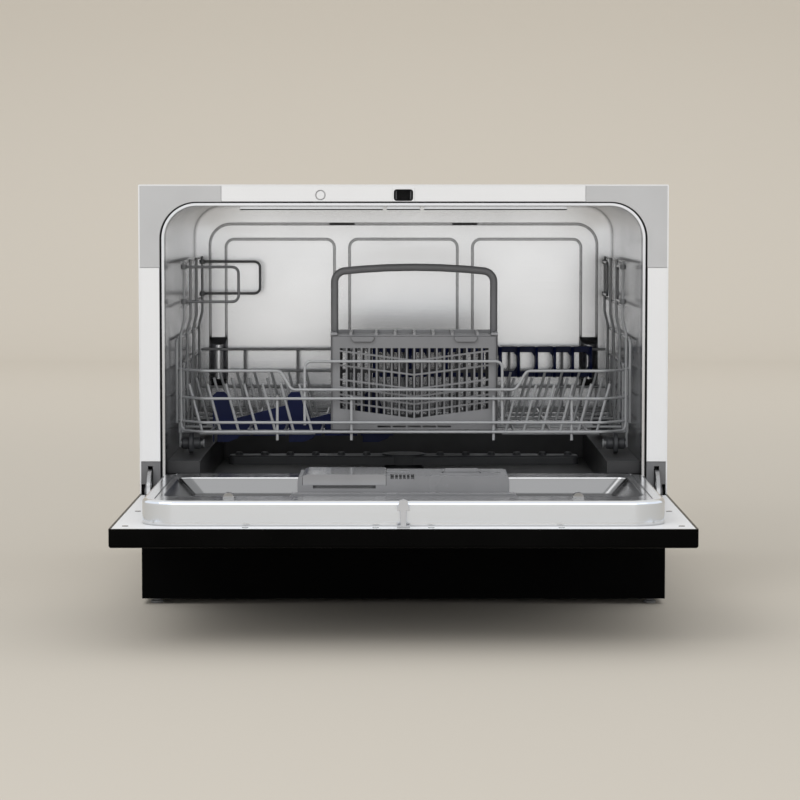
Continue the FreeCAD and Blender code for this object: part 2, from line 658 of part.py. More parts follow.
def make_tub_floor():
    """The black moulded tub floor: roller rails along the sides, a basin, the front sill and the sump."""
    side = D.tub_half_width - D.seal_gap / 3
    low = D.floor_level - D.floor_wall
    section = [
        (-side, D.rail_top), (-D.rail_inner, D.rail_top), (-D.rail_inner, D.floor_level),
        (D.rail_inner, D.floor_level), (D.rail_inner, D.rail_top), (side, D.rail_top),
        (side, D.rail_top - D.floor_wall), (D.rail_inner + D.floor_wall, D.rail_top - D.floor_wall),
        (D.rail_inner + D.floor_wall, low), (-D.rail_inner - D.floor_wall, low),
        (-D.rail_inner - D.floor_wall, D.rail_top - D.floor_wall), (-side, D.rail_top - D.floor_wall),
    ]
    trough = prism("XZ_Plane", D.rail_start, D.tub_depth, section)
    front = prism(
        "YZ_Plane", -side, side,
        [
            (D.tub_front, D.sill_top), (D.sill_depth, D.sill_top), (D.sill_depth, D.floor_level),
            (D.rail_start, D.floor_level), (D.rail_start, low), (D.sill_depth - D.floor_wall, low),
            (D.sill_depth - D.floor_wall, D.sill_top - D.floor_wall),
            (D.tub_front, D.sill_top - D.floor_wall),
        ],
    )
    ends = []
    for hand in (-1, 1):
        edges = sorted((side * hand, D.rail_inner * hand), key=lambda size: size.value)
        ends.append(
            box(edges[0], edges[1], D.sill_depth, D.rail_start, D.sill_top - D.floor_wall, D.rail_top)
        )
    bowl = rod("Z", D.filter_place_x, D.filter_place_y, D.sump_floor, D.sump_radius, low - D.sump_floor)
    rear = box(-D.rail_inner, D.rail_inner, D.tub_depth - D.floor_wall, D.tub_depth, low, D.rail_top)
    mouth = rod(
        "Z", D.filter_place_x, D.filter_place_y, D.sump_floor + D.floor_wall, D.sump_radius - D.floor_wall,
        D.floor_level - D.sump_floor,
    )
    keep("tub_floor", carve(join(trough, front, rear, bowl, *ends), mouth))


def make_seals():
    """The rubber door seal over the sides and top of the opening, and the strip along the sill."""
    outer_half = opening_half - D.seal_gap
    outer = prism(
        "XZ_Plane", D.door_gap / 2, D.door_gap / 2 + D.seal_depth,
        rectangle(-outer_half, outer_half, D.sill_top, opening_top),
    )
    top = opening_top.value
    soften(outer, opening_corner, lambda edge: runs(edge, ALONG_Y) and abs(edge.BoundBox.ZMin - top) < 0.01)
    inner_half = tub_outer + D.flange_width + D.seal_gap / 3
    inner_top = D.tub_ceiling + D.tub_sheet + D.flange_width + D.seal_gap / 3
    mouth = rectangle(-inner_half, inner_half, D.foot_height, inner_top)
    inner = prism("XZ_Plane", 0, D.seal_depth * 2, mouth)
    low = inner_top.value
    soften(
        inner, D.tub_corner + D.tub_sheet + D.flange_width,
        lambda edge: runs(edge, ALONG_Y) and abs(edge.BoundBox.ZMin - low) < 0.01,
    )
    strip = prism(
        "YZ_Plane", -D.tub_half_width + D.sheet, D.tub_half_width - D.sheet,
        [
            (D.tub_front + D.sheet, D.sill_top), (D.tub_front + D.seal_depth, D.sill_top),
            (D.tub_front + D.seal_depth - D.sheet, D.sill_top + D.seal_width),
            (D.tub_front + D.sheet * 2, D.sill_top + D.seal_width),
        ],
    )
    keep("door_seal", join(carve(outer, inner), strip))


def make_door_lock():
    """The lock behind the crossbar's slot, with the bars that the striker meets."""
    middle = D.hinge_height + D.striker_place
    front = D.crossbar_depth
    case = box(
        -D.slot_width, D.slot_width, front, front + D.slot_width * 1.5, opening_top + D.seal_gap,
        roof - D.sheet
    )
    throat = box(
        -D.slot_width / 2, D.slot_width / 2, front - D.sheet, front + D.slot_width,
        middle - D.slot_height / 2,
        middle + D.slot_height / 2,
    )
    guard_half = D.slot_height / 2 - D.sheet
    bars = [
        box(
            x, x + D.guard_width, D.guard_front, front + D.slot_width + D.sheet, middle - guard_half,
            middle + guard_half,
        )
        for x in (-D.guard_x - D.guard_width, D.guard_x)
    ]
    keep("door_lock", join(carve(case, throat), *bars))


# what works inside


def make_wash_parts():
    """The spray arm on its pedestal, the filter and the two pumps in the base."""
    arm_foot = D.spray_level
    pedestal = join(
        taper("Z", 0, spray_y, D.floor_level, D.pedestal_radius * 1.4, D.pedestal_radius,
              arm_foot - D.seal_gap - D.floor_level),
        rod("Z", 0, spray_y, D.floor_level, D.axle_radius, arm_foot + D.spray_height - D.floor_level),
    )
    keep("spray_pedestal", pedestal)
    half_root = D.spray_width / 2
    half_tip = D.spray_tip / 2
    blade = prism(
        "XY_Plane", arm_foot, arm_foot + D.spray_height,
        [
            (-D.spray_radius, -half_tip), (0, -half_root), (D.spray_radius, -half_tip),
            (D.spray_radius, half_tip), (0, half_root), (-D.spray_radius, half_tip),
        ],
    )
    root = half_root.value
    soften(blade, half_tip * 0.6, lambda edge: runs(edge, ALONG_Z) and abs(edge.BoundBox.XMin) > root)
    top = arm_foot.value + D.spray_height.value
    soften(
        blade, D.spray_height / 4,
        lambda edge: edge.BoundBox.ZMin > top - 0.01,
    )
    bind(blade, "Placement.Base.y", spray_y)
    hub = rod("Z", 0, spray_y, arm_foot, D.spray_hub, D.spray_height + D.sheet)
    nozzles = []
    for side in (-1, 1):
        for step in range(int(D.spray_nozzles.value)):
            place = (D.spray_hub + (D.spray_radius - D.spray_hub) * (step + 0.6) / D.spray_nozzles) * side
            nozzles.append(taper("Z", place, spray_y, arm_foot + D.spray_height / 2, D.spray_height * 0.7,
                                 D.spray_height * 0.35, D.spray_height * 0.8))
    bore = rod("Z", 0, spray_y, arm_foot - D.sheet, D.axle_radius + D.running_fit, D.spray_height)
    roomy = rod(
        "Z", 0, spray_y, arm_foot + D.spray_height - D.sheet * 2, D.axle_radius + D.running_fit, D.sheet * 2.4
    )
    keep("spray_arm", carve(join(blade, hub, *nozzles), bore, roomy))
    x, y = D.filter_place_x, D.filter_place_y
    plate = box(
        x - D.filter_half_plate, x + D.filter_half_plate, y - D.filter_half_plate, y + D.filter_half_plate,
        D.floor_level, D.floor_level + D.sheet,
    )
    plate = rounded(plate, D.filter_half_plate * 0.4, lambda edge: runs(edge, ALONG_Z))
    mouth = rod("Z", x, y, D.floor_level - D.sheet, D.filter_radius + D.seal_gap, D.sheet * 3)
    keep("filter_plate", carve(plate, mouth))
    cup_foot = D.sump_floor + D.floor_wall
    cup_top = D.floor_level + D.sheet * 3
    wall = D.sheet
    cup = turned(
        [
            (0, cup_foot), (D.filter_radius * 0.85, cup_foot), (D.filter_radius, cup_top),
            (D.filter_radius - wall, cup_top), (D.filter_radius * 0.85 - wall, cup_foot + wall),
            (0, cup_foot + wall),
        ],
        x, y, 0,
    )
    grip = join(
        box(
            x - D.filter_radius + wall, x + D.filter_radius - wall, y - wall, y + wall, cup_top - wall * 3,
            cup_top
        ),
        rod("Z", x, y, cup_foot, D.axle_radius, cup_top - cup_foot),
    )
    keep("filter_cup", join(cup, grip))
    floor = D.foot_height + D.tray_wall
    pump_y = D.tub_depth * 0.62
    wash = join(
        rod("X", -D.pump_length / 2, pump_y, floor + D.pump_radius, D.pump_radius, D.pump_length * 0.6),
        taper("X", D.pump_length * 0.1, pump_y, floor + D.pump_radius, D.pump_radius, D.pump_radius * 0.5,
              D.pump_length * 0.4),
        box(-D.pump_length / 2, D.pump_length * 0.1, pump_y - D.pump_radius, pump_y + D.pump_radius, floor,
            floor + D.pump_radius * 0.4),
    )
    keep("wash_pump", wash)
    drain_x = D.filter_place_x * -1
    drain = join(
        rod(
            "Y", drain_x, D.filter_place_y, floor + D.drain_pump_radius, D.drain_pump_radius,
            D.drain_pump_length
        ),
        box(drain_x - D.drain_pump_radius, drain_x + D.drain_pump_radius, D.filter_place_y,
            D.filter_place_y + D.drain_pump_length, floor, floor + D.drain_pump_radius * 0.5),
    )
    keep("drain_pump", drain)


def make_connections():
    """The threaded water inlet with its valve, the drain spigot and the empty cable gland on the back."""
    back = rear_face - D.tray_wall
    level = D.connection_level
    valve_half = D.inlet_radius * 1.3
    valve = box(
        D.inlet_x - valve_half, D.inlet_x + valve_half, back - D.inlet_length * 2, back, level - valve_half,
        level + valve_half,
    )
    collar = rod("Y", D.outlet_x, back - D.sheet * 2, level, D.outlet_radius * 1.5, D.sheet * 2)
    for label, x, radius, inside in (
        ("water_inlet", D.inlet_x, D.inlet_radius, valve),
        ("drain_outlet", D.outlet_x, D.outlet_radius, collar),
    ):
        neck = rod("Y", x, back - D.sheet, level, radius * 0.88, D.cabinet_depth - back + D.sheet)
        spout = rod("Y", x, D.cabinet_depth, level, radius, D.inlet_length)
        way = rod("Y", x, D.cabinet_depth, level, radius * 0.7, D.inlet_length + D.sheet)
        keep(label, carve(join(inside, neck, spout), way))
    gland = join(
        rod("Y", D.gland_x, back - D.sheet * 2, level, D.gland_radius * 1.4, D.sheet * 2),
        rod("Y", D.gland_x, back - D.sheet, level, D.gland_radius, D.tray_wall + D.sheet * 3),
    )
    keep("cable_gland", carve(gland, rod("Y", D.gland_x, back - D.sheet * 4, level, D.gland_radius * 0.45,
                                         D.tray_wall * 6)))


# door, drawn as it lies open


def make_door_shells():
    """The black outer panel with its finger pull, and the white inner panel."""
    heel_half = inner_half_width - D.door_gap
    shell = rounded(
        box(-half_width, half_width, -door_reach, -D.door_gap, door_back, door_plane), D.door_wall,
        lambda edge: edge.BoundBox.YMin < -D.door_gap.value - 0.01 and (
            edge.BoundBox.ZMax < door_back.value + 0.01
            or (runs(edge, ALONG_Z) and edge.BoundBox.YMax < -D.door_wall.value)
        ),
    )
    heel = box(-heel_half, heel_half, -D.door_wall * 2, D.door_heel, door_back, door_plane)
    room = join(
        box(
            D.door_wall - half_width, half_width - D.door_wall, D.door_wall - door_reach,
            -D.door_gap - D.door_wall,
            door_floor, door_plane + D.sheet,
        ),
        box(
            D.door_wall - heel_half, heel_half - D.door_wall, -D.door_wall * 3, D.door_heel - D.door_wall,
            door_floor,
            door_plane + D.sheet,
        ),
    )
    pull_half = D.pull_width / 2
    pull_end = D.door_wall * 3 - door_reach
    pocket_wall = box(
        -pull_half - D.sheet, pull_half + D.sheet, pull_end - D.sheet, pull_end + D.pull_height + D.sheet,
        door_back + D.door_wall / 2, door_back + D.pull_depth + D.sheet,
    )
    pocket = box(
        -pull_half, pull_half, pull_end, pull_end + D.pull_height, door_back - D.sheet,
        door_back + D.pull_depth,
    )
    holes = [
        rod("Z", x, -D.button_row, door_back - D.sheet, D.button_radius + D.lid_slack, D.door_wall * 3)
        for x in button_places()
    ]
    window = box(
        -D.display_width / 2, D.display_width / 2, -D.button_row - D.display_height / 2,
        -D.button_row + D.display_height / 2, door_back - D.sheet, door_back + D.sheet,
    )
    outer = carve(join(carve(join(shell, heel), room), pocket_wall), pocket, window, *holes)
    keep("door_outer_panel", outer)
    glass = box(
        -D.display_width / 2 + D.running_fit, D.display_width / 2 - D.running_fit,
        -D.button_row - D.display_height / 2 + D.running_fit,
        -D.button_row + D.display_height / 2 - D.running_fit,
        door_back, door_back + D.sheet,
    )
    keep("display_window", glass)
    margin = D.door_wall
    panel = box(
        margin - half_width, half_width - margin, margin - door_reach, -D.inner_panel_heel,
        door_plane - D.inner_panel, door_plane,
    )
    hatch = dispenser_hatch(D.inner_panel * 3, door_plane - D.inner_panel * 2)
    arm_slots = [
        box(
            arm_middle * side - D.arm_thickness, arm_middle * side + D.arm_thickness,
            -D.arm_sweep - D.sheet * 2, 0, door_plane - D.inner_panel * 2, door_plane + D.inner_panel,
        )
        for side in (-1, 1)
    ]
    keep("door_inner_panel", carve(panel, hatch, *arm_slots))
    studs = []
    for x in (-D.screw_outer, -D.screw_inner, D.screw_inner, D.screw_outer):
        studs.append(rod("Z", x, -(door_reach + D.liner_top_end) / 2, door_plane, D.wire, D.door_gap / 2))
    for side in (-1, 1):
        for y in (-D.liner_top_end, -D.pocket_end * 0.66, -D.pocket_start * 1.2):
            x = (half_width + D.liner_half_width) / 2 * side
            studs.append(rod("Z", x, y, door_plane, D.wire, D.door_gap / 2))
    keep("door_screws", join(*studs))


def button_places():
    """The three buttons beside the display."""
    return [-D.button_left, D.button_left - D.button_step, D.button_left]


def make_buttons():
    """Three push buttons, each with a flange behind the panel that keeps it in."""
    for label, x in zip(("power_button", "program_button", "start_button"), button_places()):
        length = D.button_proud + D.door_wall + D.running_fit
        top = rod("Z", x, -D.button_row, door_back - D.button_proud, D.button_radius, length)
        seat = door_floor + D.running_fit
        flange = rod("Z", x, -D.button_row, seat, D.button_radius + D.sheet, D.button_flange)
        keep(label, join(top, flange))


def make_board():
    """The control board on its posts behind the buttons."""
    level = door_floor + D.button_flange + D.button_travel + D.running_fit * 4
    row = -D.button_row
    board = box(
        -D.board_width / 2 - D.button_step, D.board_width / 2 + D.button_step * 1.4, row - D.board_height / 2,
        row + D.board_height / 2, level, level + D.board_thickness,
    )
    posts = []
    for x in (-D.board_width / 2, D.board_width / 2):
        for y in (row - D.board_height * 0.42, row + D.board_height * 0.42):
            posts.append(rod("Z", x, y, door_floor, D.wire / 2, level - door_floor))
    chips = [
        box(x, x + D.board_height * 0.7, row - D.board_height * 0.2, row + D.board_height * 0.2,
            level + D.board_thickness, level + D.board_thickness * 2)
        for x in (-D.board_width * 0.3, D.board_width * 0.1)
    ]
    keep("control_board", join(board, *posts, *chips))


def dispenser_hatch(height, foot):
    """The hole that the dispenser passes through."""
    return box(
        D.chamber_wall / 2 - D.dispenser_half_width, D.dispenser_half_width - D.chamber_wall / 2,
        D.chamber_wall / 2 - D.dispenser_near, D.dispenser_depth - D.dispenser_near - D.chamber_wall / 2,
        foot, foot + height,
    )


def pocket_block(grow, foot):
    """The liner's pocket as a tapered block, grown by the sheet for its outside."""
    side = D.pocket_slope
    end = D.pocket_end_slope
    block = doc.addObject("Part::Wedge", fresh("tapered"))
    block.Placement = FreeCAD.Placement(Vector(), FreeCAD.Rotation(ALONG_X, 90))
    for path, size in (
        ("Ymin", foot), ("Ymax", liner_rim + D.running_fit),
        ("Xmin", side - grow - D.pocket_half_width), ("Xmax", D.pocket_half_width - side + grow),
        ("X2min", -D.pocket_half_width - grow), ("X2max", D.pocket_half_width + grow),
        ("Zmin", D.pocket_start + end - grow), ("Zmax", D.pocket_end - end + grow),
        ("Z2min", D.pocket_start - grow), ("Z2max", D.pocket_end + grow),
    ):
        bind(block, path, size)
    return rounded(
        block, D.pocket_corner,
        lambda edge: isinstance(edge.Curve, Part.Line) and abs(edge.Curve.Direction.z) > 0.3,
    )


def make_liner():
    """The stainless liner: a raised tray with rounded corners and a sunk pocket, pressed from one sheet."""
    def slab(inset, foot, top):
        body = prism(
            "XY_Plane", foot, top,
            rectangle(
                inset - D.liner_half_width, D.liner_half_width - inset, inset - D.liner_top_end,
                -D.liner_heel - inset,
            ),
        )
        return soften(body, D.liner_corner - inset, lambda edge: runs(edge, ALONG_Z))

    outside = slab(Size.of(0), door_plane, liner_rim)
    crown = liner_rim.value
    soften(outside, D.liner_sheet * 3, lambda edge: edge.BoundBox.ZMin > crown - 0.01)
    inside = slab(D.liner_sheet, door_plane - D.sheet, liner_rim - D.liner_sheet)
    soften(
        inside, D.liner_sheet * 2,
        lambda edge: edge.BoundBox.ZMin > crown - D.liner_sheet.value - 0.01,
    )
    pocket_outside = pocket_block(D.liner_sheet, pocket_floor - D.liner_sheet)
    press = slab(D.liner_sheet / 2, door_plane, liner_rim - D.liner_sheet / 2)
    shell = join(carve(outside, inside), overlap(pocket_outside, press))
    hatch = dispenser_hatch(D.liner_height, door_plane)
    creases = [
        box(
            D.crease_x * side - D.crease_width / 2, D.crease_x * side + D.crease_width / 2, -D.crease_near,
            -D.crease_far, liner_rim - D.crease_depth, liner_rim + D.sheet,
        )
        for side in (-1, 1)
    ]
    sheet_liner = carve(shell, pocket_block(Size.of(0), pocket_floor), hatch, *creases)
    crest = (D.pocket_end + D.liner_top_end) / 2
    bumps = []
    for side in (-1, 1):
        drum = rod("Y", D.bump_place * side, -crest, liner_rim, D.bump_radius, D.bump_length)
        bumps.append(
            overlap(
                drum,
                box(
                    -half_width, half_width, -D.liner_top_end, 0, liner_rim - D.liner_sheet / 2,
                    dispenser_top,
                ),
            )
        )
    keep("door_liner", join(sheet_liner, *bumps))


def make_dispenser():
    """The dispenser in the liner: its body, the sliding detergent lid and the rinse-aid cap."""
    near = -D.dispenser_near
    far = D.dispenser_depth - D.dispenser_near
    lid_foot = dispenser_top - D.lid_thickness
    seat = pocket_floor
    left = -D.dispenser_half_width
    right = D.dispenser_half_width
    base = prism(
        "XZ_Plane", near, far,
        [
            (left, seat), (right, seat), (right, dispenser_top - D.sheet - D.body_corner),
            (right - D.body_corner / 4, dispenser_top - D.sheet - D.body_corner / 4),
            (right - D.body_corner, dispenser_top - D.sheet),
            (-D.lid_right + D.lid_slack, dispenser_top - D.sheet),
            (-D.lid_right + D.lid_slack, lid_foot), (-D.lid_left - D.lid_slack, lid_foot),
            (-D.lid_left - D.lid_slack, dispenser_top - D.sheet - D.body_corner / 4),
            (left + D.body_corner / 4, dispenser_top - D.sheet - D.body_corner / 4),
            (left, dispenser_top - D.sheet - D.body_corner),
        ],
    )
    skirt_top = seat + D.skirt_height
    skirt = prism(
        "XZ_Plane", near - D.skirt_reach, near - D.skirt_gap,
        [
            (left - D.skirt_run, seat), (right + D.skirt_run, seat),
            (right + D.skirt_run - D.skirt_slope, skirt_top),
            (left - D.skirt_run + D.skirt_slope, skirt_top),
        ],
    )
    tongue = box(left, right, near - D.skirt_gap - D.sheet, near + D.sheet, seat, seat + D.sheet * 2)
    hatch_slack = D.lid_slack
    neck = box(
        left + D.chamber_wall / 2 + hatch_slack, right - D.chamber_wall / 2 - hatch_slack,
        near + D.chamber_wall / 2 + hatch_slack, far - D.chamber_wall / 2 - hatch_slack,
        door_plane - D.inner_panel - D.sheet, seat,
    )
    chamber = box(
        -D.lid_left + D.chamber_wall, -D.lid_right - D.chamber_wall, near + D.chamber_wall,
        far - D.chamber_wall,
        door_plane, lid_foot + D.sheet,
    )
    finger = box(
        -D.lid_left + D.chamber_wall * 1.25, -D.lid_right - D.chamber_wall * 1.25, near - D.sheet,
        near + D.sheet * 2,
        lid_foot - D.sheet * 2, lid_foot + D.sheet,
    )
    grip_top = dispenser_top - D.sheet
    recess = box(
        D.grip_left, D.grip_right, near - D.sheet, near + D.grip_reach, grip_top - D.grip_depth,
        grip_top + D.sheet
    )
    pitch = (D.grip_right - D.grip_left) / 6
    ridges = [
        box(
            D.grip_left + pitch * step - D.sheet / 2, D.grip_left + pitch * step + D.sheet / 2, near,
            near + D.grip_reach + D.sheet, grip_top - D.grip_depth - D.sheet, grip_top - D.sheet / 2,
        )
        for step in range(1, 6)
    ]
    cap_y = (near + far) / 2
    cap_seat = dispenser_top - D.sheet - D.cap_height
    well = rod("Z", D.cap_place, cap_y, cap_seat, D.cap_radius + D.lid_slack, D.cap_height * 2)
    glass_x = right - D.chamber_wall * 1.2
    sight = rod("Z", glass_x, cap_y, dispenser_top - D.sheet * 2, D.wire, D.sheet * 2)
    body = carve(join(base, neck), chamber, finger, well, sight, recess)
    keep("dispenser_body", join(body, skirt, tongue, *ridges))
    lid = prism(
        "XZ_Plane", near, far,
        [
            (-D.lid_left, lid_foot), (-D.lid_right, lid_foot), (-D.lid_right, dispenser_top - D.sheet),
            (-D.lid_right - D.sheet, dispenser_top), (-D.lid_left + D.body_corner, dispenser_top),
            (-D.lid_left, dispenser_top - D.sheet),
        ],
    )
    tick = box(
        -D.lid_right - D.lid_left / 3, D.lid_thickness / 8 - D.lid_right - D.lid_left / 3, near + D.sheet,
        far - D.sheet,
        dispenser_top - D.sheet / 2, dispenser_top + D.sheet / 3,
    )
    keep("detergent_lid", join(lid, tick))
    cap_top = cap_seat + D.cap_height
    cap = turned(
        [
            (0, 0), (D.cap_radius, 0), (D.cap_radius, D.cap_height - D.sheet),
            (D.cap_radius - D.sheet, D.cap_height),
            (0, D.cap_height),
        ],
        D.cap_place, cap_y, cap_seat,
    )
    ridge = overlap(
        rod("Z", D.cap_place, cap_y, cap_seat, D.cap_radius - D.sheet * 2, D.cap_height * 1.8),
        box(
            D.cap_place - D.cap_radius, D.cap_place + D.cap_radius, cap_y - D.wire * 0.7,
            cap_y + D.wire * 0.7, cap_seat, cap_top + D.cap_height,
        ),
    )
    keep("rinse_aid_cap", join(cap, ridge))


def make_door_hardware():
    """The striker on the door's free edge and the two curved hinge arms."""
    half = D.striker_width / 2
    tip = D.hinge_height + D.striker_reach
    reach = tip - door_plane
    blade = prism(
        "XZ_Plane", -D.striker_place - D.striker_thickness / 2, -D.striker_place + D.striker_thickness / 2,
        [
            (-half, door_plane), (half, door_plane), (half, door_plane + D.inner_panel),
            (half * 0.45, door_plane + D.inner_panel), (half * 0.45, door_plane + reach * 0.6),
            (half, door_plane + reach * 0.6), (half * 0.6, tip - D.sheet), (0, tip),
            (-half * 0.6, tip - D.sheet),
            (-half, door_plane + reach * 0.6), (-half * 0.45, door_plane + reach * 0.6),
            (-half * 0.45, door_plane + D.inner_panel), (-half, door_plane + D.inner_panel),
        ],
    )
    keep("door_striker", blade)
    x0 = arm_middle - D.arm_thickness / 2
    disc = rod("X", x0, 0, D.hinge_height, D.arm_sweep, D.arm_thickness)
    quarter = box(
        x0, x0 + D.arm_thickness, -D.arm_sweep, D.sheet, D.hinge_height - D.sheet,
        D.hinge_height + D.arm_sweep
    )
    window = rod(
        "X", x0 - D.sheet, -D.arm_sweep * 0.46, D.hinge_height + D.arm_sweep * 0.46, D.arm_sweep * 0.2,
        D.arm_thickness * 2,
    )
    hub = rod("X", x0, 0, D.hinge_height, D.arm_hub, D.arm_thickness)
    foot_top = door_plane - D.inner_panel
    foot = box(x0, x0 + D.arm_thickness, -D.arm_foot, -D.arm_hub * 0.5, door_floor, foot_top)
    bore = rod("X", x0 - D.sheet, 0, D.hinge_height, D.pin_radius + D.running_fit, D.arm_thickness * 2)
    rise = box(x0, x0 + D.arm_thickness, -D.arm_sweep, -D.arm_hub * 0.5, door_floor, D.hinge_height + D.sheet)
    right = carve(join(carve(overlap(disc, quarter), window), hub, foot, rise), bore)
    keep("hinge_arms", join(right, mirrored(right)))


# basket


def make_basket():
    """The wire basket in five welded panels, with its tines and the stub axles of its rollers."""
    r = wire_radius.value
    bend = D.wire_bend.value
    floor = D.basket_floor
    under = floor - D.wire * 0.8
    half = D.basket_half_width
    corner_y = D.basket_front + (half - D.front_half_width)
    clear = D.running_fit * 2
    wires = []
    cross_end = half - wire_radius - clear
    for x in floor_places():
        front = D.basket_front + wire_radius + clear
        rear = D.basket_rear - wire_radius - clear
        wires.append(straight(point(x, front, floor), point(x, rear, floor), r))
    for y in cross_places():
        wires.append(straight(point(-cross_end, y, under), point(cross_end, y, under), r))
    welded("basket_floor", wires)
    wires = []
    ends = corner_y + wire_radius
    for level in (D.front_mid_level, D.front_low_level):
        wires.append(
            bent(
                [
                    point(-half + clear, ends, level), point(-D.front_half_width, D.basket_front, level),
                    point(D.front_half_width, D.basket_front, level), point(half - clear, ends, level),
                ],
                r, bend,
            )
        )
    corner_x = half - D.wire
    corner_back = corner_y - D.wire
    corner_top = D.rim_level + wire_radius
    wires.append(
        bent(
            [
                point(-corner_x, corner_back, corner_top), point(-corner_x, corner_back, floor),
                point(-D.front_half_width, D.basket_front, floor),
                point(D.front_half_width, D.basket_front, floor),
                point(corner_x, corner_back, floor), point(corner_x, corner_back, corner_top),
            ],
            r, bend,
        )
    )
    dip = D.dip_half_width
    rim = D.rim_level
    wires.append(
        bent(
            [
                point(-half + clear, ends, rim), point(-D.front_half_width, D.basket_front, rim),
                point(-dip - D.dip_ramp, D.basket_front, rim), point(-dip, D.basket_front, D.dip_level),
                point(dip, D.basket_front, D.dip_level), point(dip + D.dip_ramp, D.basket_front, rim),
                point(D.front_half_width, D.basket_front, rim), point(half - clear, ends, rim),
            ],
            r, bend,
        )
    )
    stand = D.basket_front + D.wire * 0.8
    for x in front_posts_x():
        wires.append(straight(point(x, stand, D.post_foot), point(x, stand, D.front_mid_level + D.wire), r))
    arch = D.arch_half_width
    wires.append(
        bent(
            [
                point(-arch, stand, D.front_low_level - D.wire), point(-arch, stand, D.arch_top),
                point(arch, stand, D.arch_top), point(arch, stand, D.front_low_level - D.wire),
            ],
            r, bend,
        )
    )
    welded("basket_front", wires)
    wires = []
    back_end = half - wire_radius - clear
    for level in (D.rear_rim_level, D.rear_rim_level - D.tine_pitch * 1.3, floor + D.tine_pitch * 1.3, floor):
        left = point(-back_end, D.basket_rear, level)
        wires.append(straight(left, point(back_end, D.basket_rear, level), r))
    back_stand = D.basket_rear + D.wire * 0.8
    for step in range(-3, 4):
        x = D.tine_pitch * 3.2 * step
        crown = point(x, back_stand, D.rear_rim_level + wire_radius)
        wires.append(straight(point(x, back_stand, under), crown, r))
    welded("basket_back", wires)
    for label, hand in (("basket_left_side", -1), ("basket_right_side", 1)):
        welded(label, side_panel(hand))


def floor_places():
    """The floor's long wires, left to right, each midway between two tines."""
    pitch = D.tine_pitch * 2
    first = -D.left_tine_first - D.tine_pitch * (D.left_tines - 1) + D.tine_pitch / 2
    wires = [first + pitch * i for i in range(int(D.floor_wires.value))]
    beside = D.right_tine_first + D.tine_pitch / 2
    return wires + [beside + pitch * i for i in range(int(D.right_floor_wires.value))]


def cross_places():
    """The places of the floor's cross wires, front to back."""
    first = D.basket_front + D.tine_pitch * 2
    last = D.basket_rear - D.wire * 3
    steps = int(D.cross_wires.value) - 1
    return [first + (last - first) * (i / steps) for i in range(steps + 1)]


def front_posts_x():
    """The uprights of the front panel."""
    return [D.front_half_width * share for share in (-0.63, -0.26, 0.45, 0.84)]


def side_panel(hand):
    """One side of the basket: uprights, rim, the tall cup-rack frame and two stub axles."""
    r = wire_radius.value
    half = D.basket_half_width * hand
    under = D.basket_floor - D.wire * 0.8
    lean = (D.basket_half_width - D.rack_inset) * hand
    first = D.basket_front + (D.basket_half_width - D.front_half_width) + D.wire * 2.5
    last = D.basket_rear
    outward = half + wire_radius * 1.6 * hand
    wires = []
    for level in (D.rim_level, D.front_mid_level, D.front_low_level):
        wires.append(straight(point(outward, first, level), point(outward, last, level), r))
    for y in cross_places():
        crown = point(half, y, D.rim_level + wire_radius)
        wires.append(straight(point(half, y, under - wire_radius), crown, r))
    for y in rack_places():
        wires.append(
            bent(
                [
                    point(half, y, D.front_low_level), point(half, y, D.rack_low - D.rack_inset * 4),
                    point(lean, y, D.rack_low), point(lean, y, D.rack_top + wire_radius),
                ],
                r, D.wire_bend.value,
            )
        )
    beside = lean + wire_radius * 1.6 * hand
    rack_start = rack_places()[0] - D.wire
    rack_stop = rack_places()[-1] + D.wire
    for level in (D.rack_top, D.rack_mid):
        wires.append(straight(point(beside, rack_start, level), point(beside, rack_stop, level), r))
    wires.append(
        bent(
            [
                point(outward, first, D.front_low_level - D.wire), point(outward, first, D.side_rail),
                point(outward, rack_stop, D.side_rail),
            ],
            r, D.wire_bend.value,
        )
    )
    axle = D.roller_axle.value
    inner = (D.basket_half_width - D.wire - D.roller_width - D.wire) * hand
    for y in (D.roller_front, D.roller_rear):
        crown = point(half, y, D.front_low_level + D.wire)
        wires.append(straight(point(half, y, D.roller_level - D.wire * 1.4), crown, r))
        wires.append(straight(point(half, y, D.roller_level), point(inner, y, D.roller_level), axle))
        head = inner + D.sheet * hand
        wires.append(straight(point(head, y, D.roller_level), point(inner, y, D.roller_level), axle * 1.5))
    return wires


def rack_places():
    """The four uprights of a cup rack, front to back; the outer two carry the swinging loops."""
    span = D.rack_rear - D.rack_front
    return [D.rack_front + span * (i / 3) for i in range(4)]


def make_tines():
    """The plate tines: rows of leaning wires on a cross wire welded under the basket floor."""
    r = wire_radius.value
    level = D.basket_floor - D.wire - D.running_fit
    lean = math.tan(math.radians(D.tine_lean.value))
    wires = []
    for hand, nearest, total in (
        (-1, D.left_tine_first, int(D.left_tines.value)), (1, D.right_tine_first, int(D.right_tines.value)),
    ):
        reach = D.tine_pitch * (total - 1)
        for row in range(int(D.tine_rows.value)):
            y = D.tine_row_first + D.tine_row_pitch * row
            start = (nearest - D.wire) * hand
            stop = (nearest + reach + D.wire) * hand
            wires.append(straight(point(start, y, level), point(stop, y, level), r))
            for i in range(total):
                x = (nearest + D.tine_pitch * i) * hand
                tip = x + D.tine_height * lean * hand
                wires.append(straight(point(x, y, level), point(tip, y, level + D.tine_height), r))
    welded("plate_tines", wires)


